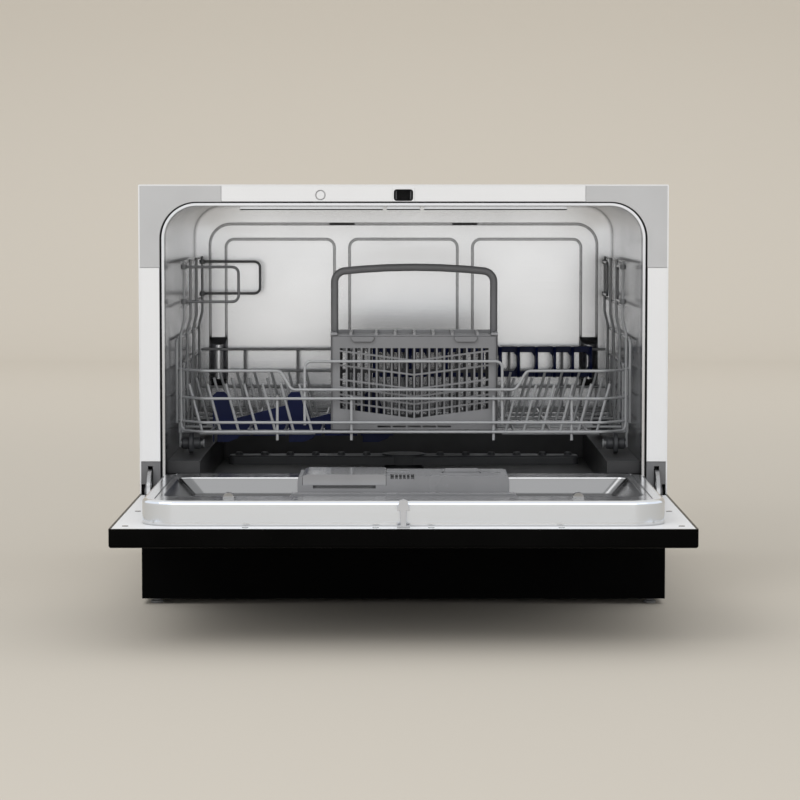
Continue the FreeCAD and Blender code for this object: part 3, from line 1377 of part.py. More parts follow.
def make_rollers():
    """Four rollers, each a running flange between two drums."""
    bore = D.roller_axle + D.running_fit
    rim = D.roller_radius
    drum = D.roller_drum
    width = D.roller_width
    profile = [
        (bore, 0), (drum * 0.85, 0), (drum, width * 0.05), (drum, width * 0.36), (rim * 0.92, width * 0.38),
        (rim, width * 0.42), (rim, width * 0.58), (rim * 0.92, width * 0.62), (drum, width * 0.64),
        (drum, width * 0.95), (drum * 0.85, width), (bore, width),
    ]
    outer = D.basket_half_width - wire_radius - D.seal_gap
    for label, hand, y in (
        ("front_left_roller", -1, D.roller_front), ("rear_left_roller", -1, D.roller_rear),
        ("front_right_roller", 1, D.roller_front), ("rear_right_roller", 1, D.roller_rear),
    ):
        x = -outer if hand < 0 else outer - width
        keep(label, turned(profile, x, y, D.roller_level, "X"))


def make_cup_loops():
    """The four swinging cup loops: two stand out on the left, two lie folded on the right."""
    r = wire_radius.value
    eye = wire_radius + D.running_fit + D.eye_wall
    bore = wire_radius + D.running_fit
    top = D.rack_top - D.loop_drop
    foot = top - D.loop_height
    front_y, rear_y = rack_places()[0], rack_places()[-1]
    for label, hand, y, length, heading, aside in (
        ("left_front_loop", -1, front_y, D.loop_length, (1, 0), (0, -1)),
        ("left_rear_loop", -1, rear_y, D.rear_loop_length, (1, 0), (0, 1)),
        ("right_front_loop", 1, front_y, D.loop_length, (0, 1), (-1, 0)),
        ("right_rear_loop", 1, rear_y, D.rear_loop_length, (0, -1), (-1, 0)),
    ):
        x = (D.basket_half_width - D.rack_inset) * hand
        near_x = x + eye * 0.75 * heading[0] + D.loop_set * aside[0]
        near_y = y + eye * 0.75 * heading[1] + D.loop_set * aside[1]
        far_x = x + length * heading[0] + D.loop_set * aside[0]
        far_y = y + length * heading[1] + D.loop_set * aside[1]
        loop = bent(
            [
                point(near_x, near_y, top), point(far_x, far_y, top), point(far_x, far_y, foot),
                point(near_x, near_y, foot),
            ],
            r, D.wire_bend.value,
        )
        eyes = []
        hole = []
        for level in (top, foot):
            low = point(x, y, level - D.eye_height / 2)
            eyes.append(Part.makeCylinder(eye.value, D.eye_height.value, low, Vector(0, 0, 1)))
            below = point(x, y, level - D.eye_height)
            hole.append(Part.makeCylinder(bore.value, D.eye_height.value * 2, below, Vector(0, 0, 1)))
        piece = doc.addObject("Part::Feature", fresh("loop"))
        piece.Shape = loop.multiFuse(eyes).cut(Part.makeCompound(hole))
        keep(label, piece)


def make_cutlery_basket():
    """The cutlery basket: a floor, two ends, a rear panel and a chevron mesh front, clipped into a box."""
    wall = D.cutlery_wall
    body = box(cutlery_left, cutlery_right, cutlery_front, cutlery_rear, cutlery_foot, cutlery_top)
    body = rounded(body, wall * 2, lambda edge: runs(edge, ALONG_Z))
    room = box(
        cutlery_left + wall, cutlery_right - wall, cutlery_front + wall, cutlery_rear - wall,
        cutlery_foot + wall,
        cutlery_top + wall,
    )
    doc.recompute()
    past = D.sheet.value
    windows = mesh_windows()
    windows += upright_slots(
        cutlery_left.value, cutlery_right.value, cutlery_rear.value - wall.value - past,
        wall.value + past * 2, True,
    )
    windows += upright_slots(
        cutlery_front.value, cutlery_rear.value, cutlery_left.value - past,
        D.cutlery_width.value + past * 2, False,
    )
    slot_foot = cutlery_foot + wall
    for i in range(int(D.foot_slots.value)):
        x = D.cutlery_offset + D.foot_slot_pitch * (i - (D.foot_slots - 1) / 2)
        corner = point(x - D.foot_slot / 2, cutlery_front - D.sheet, slot_foot)
        slot_depth = D.cutlery_depth + D.sheet * 2
        windows.append(Part.makeBox(D.foot_slot.value, slot_depth.value, D.foot_slot_height.value, corner))
    mesh = doc.addObject("Part::Feature", fresh("mesh_windows"))
    mesh.Shape = Part.makeCompound(windows)
    mid_y = (cutlery_front + cutlery_rear) / 2
    bosses = [
        box(
            x0, x0 + D.boss_length, mid_y - D.boss_half, mid_y + D.boss_half, cutlery_top - D.boss_height,
            cutlery_top,
        )
        for x0 in (cutlery_left, cutlery_right - D.boss_length)
    ]
    lugs = []
    for side in (-1, 1):
        x = D.cutlery_offset + D.lug_place * side
        lugs.append(
            prism(
                "XZ_Plane", cutlery_front - D.lug_thickness, cutlery_front + wall / 2,
                [
                    (x - D.lug_half * 0.8, cutlery_top - D.lug_height),
                    (x + D.lug_half * 0.8, cutlery_top - D.lug_height),
                    (x + D.lug_half, cutlery_top - D.lug_height / 2), (x + D.lug_half, cutlery_top),
                    (x - D.lug_half, cutlery_top), (x - D.lug_half, cutlery_top - D.lug_height / 2),
                ],
            )
        )
    moulding = join(carve(carve(body, room), mesh), *bosses, *lugs)
    inner_front = cutlery_front + wall
    inner_rear = cutlery_rear - wall
    high = cutlery_top + D.sheet
    joints = [
        box(
            cutlery_left - D.sheet, cutlery_right + D.sheet, y, y + D.panel_joint, cutlery_foot - D.sheet,
            high,
        )
        for y in (inner_front, inner_rear - D.panel_joint)
    ]
    joints.append(
        box(
            cutlery_left - D.sheet, cutlery_right + D.sheet, inner_front, inner_rear, slot_foot,
            slot_foot + D.panel_joint,
        )
    )
    keep("cutlery_basket", carve(moulding, *joints))
    make_handle(mid_y)
    gap = D.handle_bar / 2 + D.seal_gap * 2
    lid_foot = cutlery_top + D.seal_gap
    for label, hinge_y, edge_y in (
        ("cutlery_front_lid", cutlery_front + wall, mid_y - gap),
        ("cutlery_rear_lid", cutlery_rear - wall, mid_y + gap),
    ):
        sides = sorted((hinge_y, edge_y), key=lambda size: size.value)
        plate = box(cutlery_left, cutlery_right, sides[0], sides[1], lid_foot, lid_foot + D.cutlery_lid)
        ribs = [D.cutlery_offset + D.lid_pitch * share for share in (-3.33, -2, -1, 0, 1, 2, 3.33)]
        edges = [cutlery_left + D.lid_rib / 2, *ribs, cutlery_right - D.lid_rib / 2]
        slots = [
            box(left + D.lid_rib / 2, right - D.lid_rib / 2, sides[0] + wall * 1.4, sides[1] - wall,
                lid_foot - D.sheet, lid_foot + D.cutlery_lid + D.sheet)
            for left, right in zip(edges, edges[1:])
        ]
        reach = sides[1] + D.sheet if hinge_y is sides[0] else sides[1] - wall
        notches = [
            box(left + D.lid_rib / 2, right - D.lid_rib / 2, sides[0] - D.sheet, reach,
                lid_foot + D.lid_web, lid_foot + D.cutlery_lid + D.sheet)
            for left, right in zip(edges, edges[1:])
        ]
        knuckles = [
            rod("X", x, hinge_y, lid_foot + D.lid_barrel, D.lid_barrel, D.knuckle)
            for x in (cutlery_left, cutlery_right - D.knuckle)
        ]
        keep(label, join(carve(plate, *slots, *notches), *knuckles))


def make_handle(mid_y):
    """The cutlery basket's arched handle, standing on the bosses in its ends."""
    left = cutlery_left + D.handle_set
    right = cutlery_right - D.handle_set
    top = D.handle_top - D.handle_bar / 2
    reach = (right - left) / 2
    crown = [
        point(D.cutlery_offset + reach * share, mid_y, top - D.handle_shoulder * (share * share))
        for share in (-1, -0.66, -0.33, 0, 0.33, 0.66, 1)
    ]
    places = [point(left, mid_y, cutlery_top), *crown, point(right, mid_y, cutlery_top)]
    welded("cutlery_handle", [bent(places, D.handle_bar.value / 2, D.handle_bend.value)])


def mesh_levels():
    """How far below the mesh's top each chevron bar is at the middle of its wall."""
    wide = [D.mesh_first + D.mesh_wide * i for i in range(int(D.mesh_wide_rows.value) + 1)]
    narrow = [wide[-1] + D.mesh_narrow * (i + 1) for i in range(int(D.mesh_narrow_rows.value))]
    return [level.value for level in wide + narrow]


def mesh_columns(start, end):
    """The near and far edge of each column of windows between two ends of a wall."""
    pitch = D.mesh_pitch.value
    bar = D.mesh_bar.value
    middle = (start + end) / 2
    columns = int((end - start - 2 * D.mesh_margin.value) / pitch)
    edges = [middle + (column - columns / 2) * pitch + bar / 2 for column in range(columns)]
    return [(edge, edge + pitch - bar) for edge in edges]


def mesh_windows():
    """Windows of the front wall, with edges that slope down to the middle."""
    bar = D.mesh_bar.value
    middle = D.cutlery_offset.value
    high = cutlery_top.value - D.cutlery_band.value
    slope = math.tan(math.radians(D.chevron.value))
    levels = mesh_levels()
    depth_from = cutlery_front.value - D.sheet.value
    through = Vector(0, D.cutlery_wall.value + D.sheet.value * 2, 0)
    windows = []
    for u0, u1 in mesh_columns(cutlery_left.value, cutlery_right.value):
        rise0 = slope * abs(u0 - middle)
        rise1 = slope * abs(u1 - middle)
        for row, level in enumerate(levels):
            low = high - level + bar / 2
            top0 = top1 = high
            if row:
                top0 = high - levels[row - 1] - bar / 2 + rise0
                top1 = high - levels[row - 1] - bar / 2 + rise1
            corners = [(u0, low + rise0), (u1, low + rise1), (u1, top1), (u0, top0)]
            places = [Vector(u, depth_from, z) for u, z in corners]
            face = Part.Face(Part.makePolygon(places + places[:1]))
            windows.append(face.extrude(through))
    return windows


def upright_slots(start, end, depth_from, depth, along_x):
    """Tall slots of the rear wall or of both end walls, in two rows with a rail between them."""
    bar = D.mesh_bar.value
    inset = (D.slot_bar.value - bar) / 2
    high = cutlery_top.value - D.cutlery_band.value
    rail = high - mesh_levels()[1]
    low = high - mesh_levels()[-1]
    slots = []
    for u0, u1 in mesh_columns(start, end):
        near = u0 + inset
        wide = u1 - inset - near
        for foot, top in ((low, rail - bar), (rail + bar, high)):
            if along_x:
                slots.append(Part.makeBox(wide, depth, top - foot, Vector(near, depth_from, foot)))
            else:
                slots.append(Part.makeBox(depth, wide, top - foot, Vector(depth_from, near, foot)))
    return slots


def make_blue_fittings():
    """The navy glass comb on the rear panel and the plate rest under the left tines."""
    clip_rear = D.basket_rear - wire_radius - D.seal_gap
    clip_front = clip_rear - D.comb_depth
    left = D.comb_left
    right = left + D.comb_width
    plate = box(left, right, clip_front, clip_rear, D.comb_foot, D.comb_top)
    height = D.comb_top - D.comb_foot
    pitch = (D.comb_width - D.comb_rib_width) / (D.comb_ribs - 1)
    low = D.comb_foot + D.comb_rail
    high = D.comb_top - D.comb_rail
    windows = []
    ribs = []
    for i in range(int(D.comb_ribs.value)):
        x = left + pitch * i
        if i:
            near = x - pitch + D.comb_rib_width
            windows.append(
                prism(
                    "XZ_Plane", clip_front - D.sheet, clip_rear + D.sheet,
                    [
                        (near, low), (x - D.comb_cut, low), (x, low + D.comb_cut_height),
                        (x, high - D.comb_cut_height), (x - D.comb_cut, high), (near, high),
                    ],
                )
            )
        bow = rod("X", x, clip_rear, D.comb_foot + height / 2, D.comb_reach, D.comb_rib_width)
        inner = rod("X", x - D.sheet, clip_rear, D.comb_foot + height / 2, D.comb_reach - D.comb_rail,
                    D.comb_rib_width * 2)
        slab = box(x, x + D.comb_rib_width, clip_rear - D.comb_reach, clip_rear, D.comb_foot, D.comb_top)
        ribs.append(carve(overlap(bow, slab), inner))
    keep("glass_comb", join(carve(plate, *windows), *ribs))
    rear = D.rest_place + D.rest_width
    profile = [(D.rest_left, D.rest_under)]
    feet = []
    for tooth in range(int(D.rest_teeth.value)):
        x = D.rest_left + D.rest_pitch * tooth
        rest_end = x + (D.rest_pitch if tooth < D.rest_teeth.value - 1 else D.rest_post * 2)
        profile += [
            (x, D.rest_top - D.rest_post / 4), (x + D.rest_post / 4, D.rest_top),
            (x + D.rest_post * 0.75, D.rest_top), (x + D.rest_post, D.rest_top - D.rest_post / 4),
            (x + D.rest_post * 1.5, D.rest_low),
            (rest_end, D.rest_high if tooth < D.rest_teeth.value - 1 else D.rest_low),
        ]
        feet.append(
            prism(
                "XZ_Plane", D.rest_place, rear,
                [
                    (x, D.rest_foot), (x + D.rest_post, D.rest_foot),
                    (x + D.rest_post * 1.6, D.rest_under - D.wire),
                    (x + D.rest_post * 1.9, D.rest_under + D.wire), (x, D.rest_under + D.wire),
                ],
            )
        )
    profile.append((rest_end, D.rest_under))
    strip = prism("XZ_Plane", D.rest_place, rear, profile)
    slots = [
        box(
            x - wire_radius - D.seal_gap, x + wire_radius + D.seal_gap, D.rest_place - D.wire, rear + D.wire,
            D.rest_foot - D.wire, D.basket_floor + wire_radius + D.running_fit,
        )
        for x in floor_places()
        if D.rest_left.value - D.wire.value < x.value < rest_end.value + D.wire.value
    ]
    keep("plate_rest", carve(join(strip, *feet), *slots))


make_base()
make_casing()
make_front_frame()
make_hinge_seats()
make_tub()
make_tub_floor()
make_seals()
make_door_lock()
make_wash_parts()
make_connections()
make_door_shells()
make_buttons()
make_board()
make_liner()
make_dispenser()
make_door_hardware()
make_basket()
make_tines()
make_rollers()
make_cup_loops()
make_cutlery_basket()
make_blue_fittings()
doc.recompute()

faults = [thing.Label for thing in doc.Objects if {"Invalid", "Error"} & set(thing.State)]
for label, thing in nodes.items():
    if thing.Shape.isNull() or not thing.Shape.isValid() or not thing.Shape.Solids:
        faults.append(label)
if faults:
    raise RuntimeError(f"these did not build: {sorted(set(faults))}")

os.makedirs("parts", exist_ok=True)
for label, thing in nodes.items():
    thing.Shape.exportStep(os.path.join("parts", f"{label}.step"))
print(len(nodes), "sub-parts written")
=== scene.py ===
"""Looks of a compact table-top dishwasher that stands open with its basket inside."""

import json
import logging
import math
from dataclasses import dataclass, field
from enum import Enum
from typing import Sequence

import bpy
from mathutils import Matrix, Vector

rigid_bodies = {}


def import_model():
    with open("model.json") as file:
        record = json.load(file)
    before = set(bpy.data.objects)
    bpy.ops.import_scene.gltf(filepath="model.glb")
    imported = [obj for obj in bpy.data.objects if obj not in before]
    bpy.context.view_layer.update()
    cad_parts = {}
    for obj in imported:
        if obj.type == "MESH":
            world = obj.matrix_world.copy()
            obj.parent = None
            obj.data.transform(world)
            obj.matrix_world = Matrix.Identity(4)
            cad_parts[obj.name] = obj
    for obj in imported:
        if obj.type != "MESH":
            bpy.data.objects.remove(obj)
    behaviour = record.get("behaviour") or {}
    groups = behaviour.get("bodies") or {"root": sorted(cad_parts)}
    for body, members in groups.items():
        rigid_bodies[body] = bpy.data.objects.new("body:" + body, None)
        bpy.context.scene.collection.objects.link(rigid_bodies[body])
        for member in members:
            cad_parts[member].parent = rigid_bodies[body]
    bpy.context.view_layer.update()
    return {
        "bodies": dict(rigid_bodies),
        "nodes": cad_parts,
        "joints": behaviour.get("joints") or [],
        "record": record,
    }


log = logging.getLogger("dishwasher")

Colour = tuple[float, float, float]
Place = tuple[float, float, float]

MARK_SCALE = 26.0
MARK_EDGE = 0.22
MARK_SHARE = 0.6
GRAIN_SHARE = 0.4
HOLE_EDGES = (0.15, 0.3)
CREVICE_EDGES = (0.75, 0.3)
CREVICE_RAYS = 8
EDGE_RAYS = 4
TONE_EDGES = (0.3, 0.7)
# Dark tone of the painted shade, with some soil, in grooves and corners, as a share of a finish's dark colour.
SHADE_AND_SOIL_TONE = 0.08
COAT_ROUGHNESS = 0.12
BUMP_DEPTH = 0.0004
MIX_UNDER, MIX_OVER, MIX_RESULT = 6, 7, 2


def paint_colour(red: int, green: int, blue: int) -> Colour:
    """Turn a colour of 0 to 255 per channel into the linear light that shaders use.

    Args:
        red: Red as seen on a screen.
        green: Green as seen on a screen.
        blue: Blue as seen on a screen.

    Returns:
        The linear colour.
    """
    channels = []
    for part in (red, green, blue):
        share = part / 255.0
        channels.append(share / 12.92 if share <= 0.04045 else ((share + 0.055) / 1.055) ** 2.4)
    return channels[0], channels[1], channels[2]


class Surface(Enum):
    """How a surface was made, which decides the texture it shows."""

    BRUSHED = "brushed"
    MOULDED = "moulded"
    SPRAYED = "sprayed"
    COATED = "coated"
    PERFORATED = "perforated"


class Run(Enum):
    """The axis that a brushed grain runs along."""

    ACROSS = (0.02, 1.0, 1.0)
    DEEP = (1.0, 0.02, 1.0)
    NONE = (1.0, 1.0, 1.0)


def combine(tree: bpy.types.NodeTree, operation: str, first: object, second: object) -> bpy.types.NodeSocket:
    """Combine two values.

    Args:
        tree: The nodes that it goes in.
        operation: A math node's operation.
        first: A socket or a number.
        second: A socket or a number.

    Returns:
        The result.
    """
    node = tree.nodes.new("ShaderNodeMath")
    node.operation = operation
    for index, value in enumerate((first, second)):
        if isinstance(value, bpy.types.NodeSocket):
            tree.links.new(value, node.inputs[index])
        else:
            node.inputs[index].default_value = value
    return node.outputs[0]


class EffectShelf:
    """The shader groups that several finishes share, each built once."""

    def __init__(self) -> None:
        """Start with nothing built."""
        self._made: dict[str, bpy.types.NodeTree] = {}

    def _start(self, name: str, inputs: Sequence[tuple[str, str, object]],
               outputs: Sequence[tuple[str, str]]) -> tuple[bpy.types.NodeTree, bpy.types.Node, bpy.types.Node]:
        """Make an empty group with its sockets.

        Args:
            name: The group's name.
            inputs: Name, socket type and first value of each input.
            outputs: Name and socket type of each output.

        Returns:
            The group, its input node and its output node.
        """
        tree = bpy.data.node_groups.new(name, "ShaderNodeTree")
        for label, kind, value in inputs:
            socket = tree.interface.new_socket(label, in_out="INPUT", socket_type=kind)
            socket.default_value = value
        for label, kind in outputs:
            tree.interface.new_socket(label, in_out="OUTPUT", socket_type=kind)
        self._made[name] = tree
        return tree, tree.nodes.new("NodeGroupInput"), tree.nodes.new("NodeGroupOutput")

    @staticmethod
    def _noise(tree: bpy.types.NodeTree, vector: bpy.types.NodeSocket, scale: object, detail: float,
               roughness: float = 0.6) -> bpy.types.NodeSocket:
        """Add a noise texture read at a place.

        Args:
            tree: The group that it goes in.
            vector: The place.
            scale: A number, or the socket that gives it.
            detail: How many finer layers it has.
            roughness: How strong those are.

        Returns:
            The noise's value.
        """
        noise = tree.nodes.new("ShaderNodeTexNoise")
        noise.inputs["Detail"].default_value = detail
        noise.inputs["Roughness"].default_value = roughness
        tree.links.new(vector, noise.inputs["Vector"])
        if isinstance(scale, bpy.types.NodeSocket):
            tree.links.new(scale, noise.inputs["Scale"])
        else:
            noise.inputs["Scale"].default_value = scale
        return noise.outputs["Fac"]

    @staticmethod
    def _place(tree: bpy.types.NodeTree) -> bpy.types.NodeSocket:
        """Return the place on the piece in metres."""
        return tree.nodes.new("ShaderNodeTexCoord").outputs["Object"]

    def brushed(self) -> bpy.types.NodeTree:
        """Long fine scratches that run along one axis, with slow clouding between them."""
        if "brushed_grain" in self._made:
            return self._made["brushed_grain"]
        tree, start, end = self._start(
            "brushed_grain",
            (("Stretch", "NodeSocketVector", (1.0, 1.0, 1.0)), ("Scale", "NodeSocketFloat", 900.0),
             ("Clouding", "NodeSocketFloat", 9.0)),
            (("Scratch", "NodeSocketFloat"), ("Cloud", "NodeSocketFloat")),
        )
        stretch = tree.nodes.new("ShaderNodeVectorMath")
        stretch.operation = "MULTIPLY"
        tree.links.new(self._place(tree), stretch.inputs[0])
        tree.links.new(start.outputs["Stretch"], stretch.inputs[1])
        scratch = self._noise(tree, stretch.outputs[0], start.outputs["Scale"], 3.0)
        cloud = self._noise(tree, self._place(tree), start.outputs["Clouding"], 2.0)
        tree.links.new(scratch, end.inputs["Scratch"])
        tree.links.new(cloud, end.inputs["Cloud"])
        return tree

    def moulded(self) -> bpy.types.NodeTree:
        """The fine spark texture of a moulded plastic skin, with a slow change of tone."""
        if "moulded_skin" in self._made:
            return self._made["moulded_skin"]
        tree, start, end = self._start(
            "moulded_skin",
            (("Scale", "NodeSocketFloat", 1800.0), ("Clouding", "NodeSocketFloat", 14.0)),
            (("Grain", "NodeSocketFloat"), ("Cloud", "NodeSocketFloat")),
        )
        place = self._place(tree)
        grain = self._noise(tree, place, start.outputs["Scale"], 2.0, 0.7)
        cloud = self._noise(tree, place, start.outputs["Clouding"], 3.0)
        tree.links.new(grain, end.inputs["Grain"])
        tree.links.new(cloud, end.inputs["Cloud"])
        return tree

    def handled(self) -> bpy.types.NodeTree:
        """Faint water marks and finger marks that dull or polish a surface in patches."""
        if "handling_marks" in self._made:
            return self._made["handling_marks"]
        tree, start, end = self._start(
            "handling_marks",
            (("Scale", "NodeSocketFloat", 30.0), ("Cover", "NodeSocketFloat", 0.5)),
            (("Mark", "NodeSocketFloat"),),
        )
        place = self._place(tree)
        patch = self._noise(tree, place, start.outputs["Scale"], 4.0, 0.55)
        spread = tree.nodes.new("ShaderNodeMapRange")
        spread.interpolation_type = "SMOOTHSTEP"
        tree.links.new(patch, spread.inputs["Value"])
        tree.links.new(start.outputs["Cover"], spread.inputs["From Min"])
        tree.links.new(combine(tree, "ADD", start.outputs["Cover"], MARK_EDGE), spread.inputs["From Max"])
        tree.links.new(spread.outputs["Result"], end.inputs["Mark"])
        return tree

    def perforated(self) -> bpy.types.NodeTree:
        """Rows of fine round holes, as in a filter's screen."""
        if "fine_holes" in self._made:
            return self._made["fine_holes"]
        tree, start, end = self._start(
            "fine_holes", (("Pitch", "NodeSocketFloat", 0.0022),), (("Hole", "NodeSocketFloat"),),
        )
        split = tree.nodes.new("ShaderNodeSeparateXYZ")
        tree.links.new(self._place(tree), split.inputs[0])
        waves = []
        for axis in ("X", "Y"):
            turns = combine(tree, "DIVIDE", split.outputs[axis], start.outputs["Pitch"])
            waves.append(combine(tree, "SINE", combine(tree, "MULTIPLY", turns, math.tau), 0.0))
        product = combine(tree, "MULTIPLY", waves[0], waves[1])
        edge = tree.nodes.new("ShaderNodeMapRange")
        edge.interpolation_type = "SMOOTHSTEP"
        edge.inputs["From Min"].default_value = HOLE_EDGES[0]
        edge.inputs["From Max"].default_value = HOLE_EDGES[1]
        tree.links.new(product, edge.inputs["Value"])
        tree.links.new(edge.outputs["Result"], end.inputs["Hole"])
        return tree

    def crevice(self) -> bpy.types.NodeTree:
        """How deep a spot lies in a groove or corner, where little light gets in."""
        if "crevice_depth" in self._made:
            return self._made["crevice_depth"]
        tree, start, end = self._start(
            "crevice_depth", (("Reach", "NodeSocketFloat", 0.006),), (("Depth", "NodeSocketFloat"),),
        )
        shade = tree.nodes.new("ShaderNodeAmbientOcclusion")
        shade.samples = CREVICE_RAYS
        tree.links.new(start.outputs["Reach"], shade.inputs["Distance"])
        depth = tree.nodes.new("ShaderNodeMapRange")
        depth.interpolation_type = "SMOOTHSTEP"
        depth.inputs["From Min"].default_value = CREVICE_EDGES[0]
        depth.inputs["From Max"].default_value = CREVICE_EDGES[1]
        tree.links.new(shade.outputs["AO"], depth.inputs["Value"])
        tree.links.new(depth.outputs["Result"], end.inputs["Depth"])
        return tree

    def inside_box(self) -> bpy.types.NodeTree:
        """Whether a spot lies between two corners."""
        if "inside_box" in self._made:
            return self._made["inside_box"]
        tree, start, end = self._start(
            "inside_box",
            (("Low", "NodeSocketVector", (0.0, 0.0, 0.0)), ("High", "NodeSocketVector", (1.0, 1.0, 1.0))),
            (("Inside", "NodeSocketFloat"),),
        )
        splits = []
        for socket in (self._place(tree), start.outputs["Low"], start.outputs["High"]):
            split = tree.nodes.new("ShaderNodeSeparateXYZ")
            tree.links.new(socket, split.inputs[0])
            splits.append(split)
        place, low, high = splits
        inside: object = 1.0
        for axis in ("X", "Y", "Z"):
            above = combine(tree, "GREATER_THAN", place.outputs[axis], low.outputs[axis])
            below = combine(tree, "LESS_THAN", place.outputs[axis], high.outputs[axis])
            inside = combine(tree, "MULTIPLY", inside, combine(tree, "MULTIPLY", above, below))
        tree.links.new(inside, end.inputs["Inside"])
        return tree


EFFECTS = EffectShelf()


@dataclass(frozen=True)
class Patch:
    """A part of a piece, between two corners in metres, that shows another colour."""

    low: Place
    high: Place
    colour: Colour

    def mirrored(self) -> "Patch":
        """Return the same patch on the machine's other side."""
        return Patch((-self.high[0], *self.low[1:]), (-self.low[0], *self.high[1:]), self.colour)


@dataclass(frozen=True)
class Finish:
    """One finish: its colours, its gloss and the texture its surface shows."""

    name: str
    light: Colour
    dark: Colour
    surface: Surface
    rough_low: float
    rough_high: float
    metallic: float = 0.0
    coat: float = 0.0
    specular: float = 0.5
    bump: float = 0.05
    scale: float = 1800.0
    run: Run = Run.NONE
    marks: float = 0.56
    # How much grooves and corners are darkened: painted shade, with some soil.
    shade_and_soil: float = 0.7
    reach: float = 0.006
    edge: float = 0.0006
    patches: tuple[Patch, ...] = ()

    def material(self) -> bpy.types.Material:
        """Build this finish as a material.

        Returns:
            The material, made once and used again after that.
        """
        label = f"{self.name}_finish"
        found = bpy.data.materials.get(label)
        if found:
            return found
        made = bpy.data.materials.new(label)
        made.use_nodes = True
        tree = made.node_tree
        shader = tree.nodes["Principled BSDF"]
        shader.inputs["Metallic"].default_value = self.metallic
        shader.inputs["Coat Weight"].default_value = self.coat
        shader.inputs["Coat Roughness"].default_value = COAT_ROUGHNESS
        shader.inputs["Specular IOR Level"].default_value = self.specular
        fine, cloud = self._texture(tree)
        tree.links.new(self._base_colour(tree, cloud), shader.inputs["Base Color"])
        tree.links.new(self._roughness(tree, fine), shader.inputs["Roughness"])
        tree.links.new(self._normal(tree, fine), shader.inputs["Normal"])
        return made

    def _base_colour(self, tree: bpy.types.NodeTree, cloud: bpy.types.NodeSocket) -> bpy.types.NodeSocket:
        """Make the colour, with its patches and the painted shade and soil in its grooves.

        Args:
            tree: The material's nodes.
            cloud: The slow change of tone.

        Returns:
            The colour.
        """
        colour = self._blend(tree, cloud)
        for patch in self.patches:
            spot = self._group(tree, EFFECTS.inside_box(), {"Low": patch.low, "High": patch.high})
            colour = self._over(tree, spot.outputs["Inside"], colour, patch.colour)
        # Painted shade, with some soil: ambient occlusion darkens grooves, corners and the gaps between parts.
        deep = self._group(tree, EFFECTS.crevice(), {"Reach": self.reach}).outputs["Depth"]
        share = combine(tree, "MULTIPLY", deep, self.shade_and_soil)
        return self._over(tree, share, colour, tuple(part * SHADE_AND_SOIL_TONE for part in self.dark))

    def _roughness(self, tree: bpy.types.NodeTree, fine: bpy.types.NodeSocket) -> bpy.types.NodeSocket:
        """Make the roughness from handling marks and the fine texture.

        Args:
            tree: The material's nodes.
            fine: The fine texture.

        Returns:
            The roughness.
        """
        marks = self._group(tree, EFFECTS.handled(), {"Scale": MARK_SCALE, "Cover": self.marks}).outputs["Mark"]
        marked = combine(tree, "MULTIPLY", marks, MARK_SHARE)
        grained = combine(tree, "MULTIPLY", fine, GRAIN_SHARE)
        rough = tree.nodes.new("ShaderNodeMapRange")
        rough.inputs["To Min"].default_value = self.rough_low
        rough.inputs["To Max"].default_value = self.rough_high
        tree.links.new(combine(tree, "ADD", marked, grained), rough.inputs["Value"])
        return rough.outputs["Result"]

    def _normal(self, tree: bpy.types.NodeTree, fine: bpy.types.NodeSocket) -> bpy.types.NodeSocket:
        """Make the normal, with softened edges and the fine texture as relief.

        Args:
            tree: The material's nodes.
            fine: The fine texture.

        Returns:
            The normal.
        """
        rounding = tree.nodes.new("ShaderNodeBevel")
        rounding.samples = EDGE_RAYS
        rounding.inputs["Radius"].default_value = self.edge
        relief = tree.nodes.new("ShaderNodeBump")
        relief.inputs["Strength"].default_value = self.bump
        relief.inputs["Distance"].default_value = BUMP_DEPTH
        tree.links.new(rounding.outputs["Normal"], relief.inputs["Normal"])
        tree.links.new(fine, relief.inputs["Height"])
        return relief.outputs["Normal"]

    @staticmethod
    def _group(tree: bpy.types.NodeTree, effect: bpy.types.NodeTree, values: dict[str, object]) -> bpy.types.Node:
        """Place a shared effect in this material with its own values.

        Args:
            tree: The material's nodes.
            effect: The shared effect.
            values: The value of each of its inputs.

        Returns:
            The placed effect.
        """
        node = tree.nodes.new("ShaderNodeGroup")
        node.node_tree = effect
        for label, value in values.items():
            node.inputs[label].default_value = value
        return node

    def _blend(self, tree: bpy.types.NodeTree, share: bpy.types.NodeSocket) -> bpy.types.NodeSocket:
        """Make a colour between this finish's two tones.

        Args:
            tree: The material's nodes.
            share: Where the colour lies between the two.

        Returns:
            The colour.
        """
        ramp = tree.nodes.new("ShaderNodeValToRGB")
        ramp.color_ramp.elements[0].position = TONE_EDGES[0]
        ramp.color_ramp.elements[0].color = (*self.dark, 1.0)
        ramp.color_ramp.elements[1].position = TONE_EDGES[1]
        ramp.color_ramp.elements[1].color = (*self.light, 1.0)
        tree.links.new(share, ramp.inputs[0])
        return ramp.outputs[0]

    @staticmethod
    def _over(tree: bpy.types.NodeTree, share: bpy.types.NodeSocket, under: bpy.types.NodeSocket,
              colour: Sequence[float]) -> bpy.types.NodeSocket:
        """Lay one colour over another.

        Args:
            tree: The material's nodes.
            share: How much of the new colour shows.
            under: The colour underneath.
            colour: The new colour.

        Returns:
            The mixed colour.
        """
        mix = tree.nodes.new("ShaderNodeMix")
        mix.data_type = "RGBA"
        tree.links.new(share, mix.inputs["Factor"])
        tree.links.new(under, mix.inputs[MIX_UNDER])
        mix.inputs[MIX_OVER].default_value = (*colour, 1.0)
        return mix.outputs[MIX_RESULT]

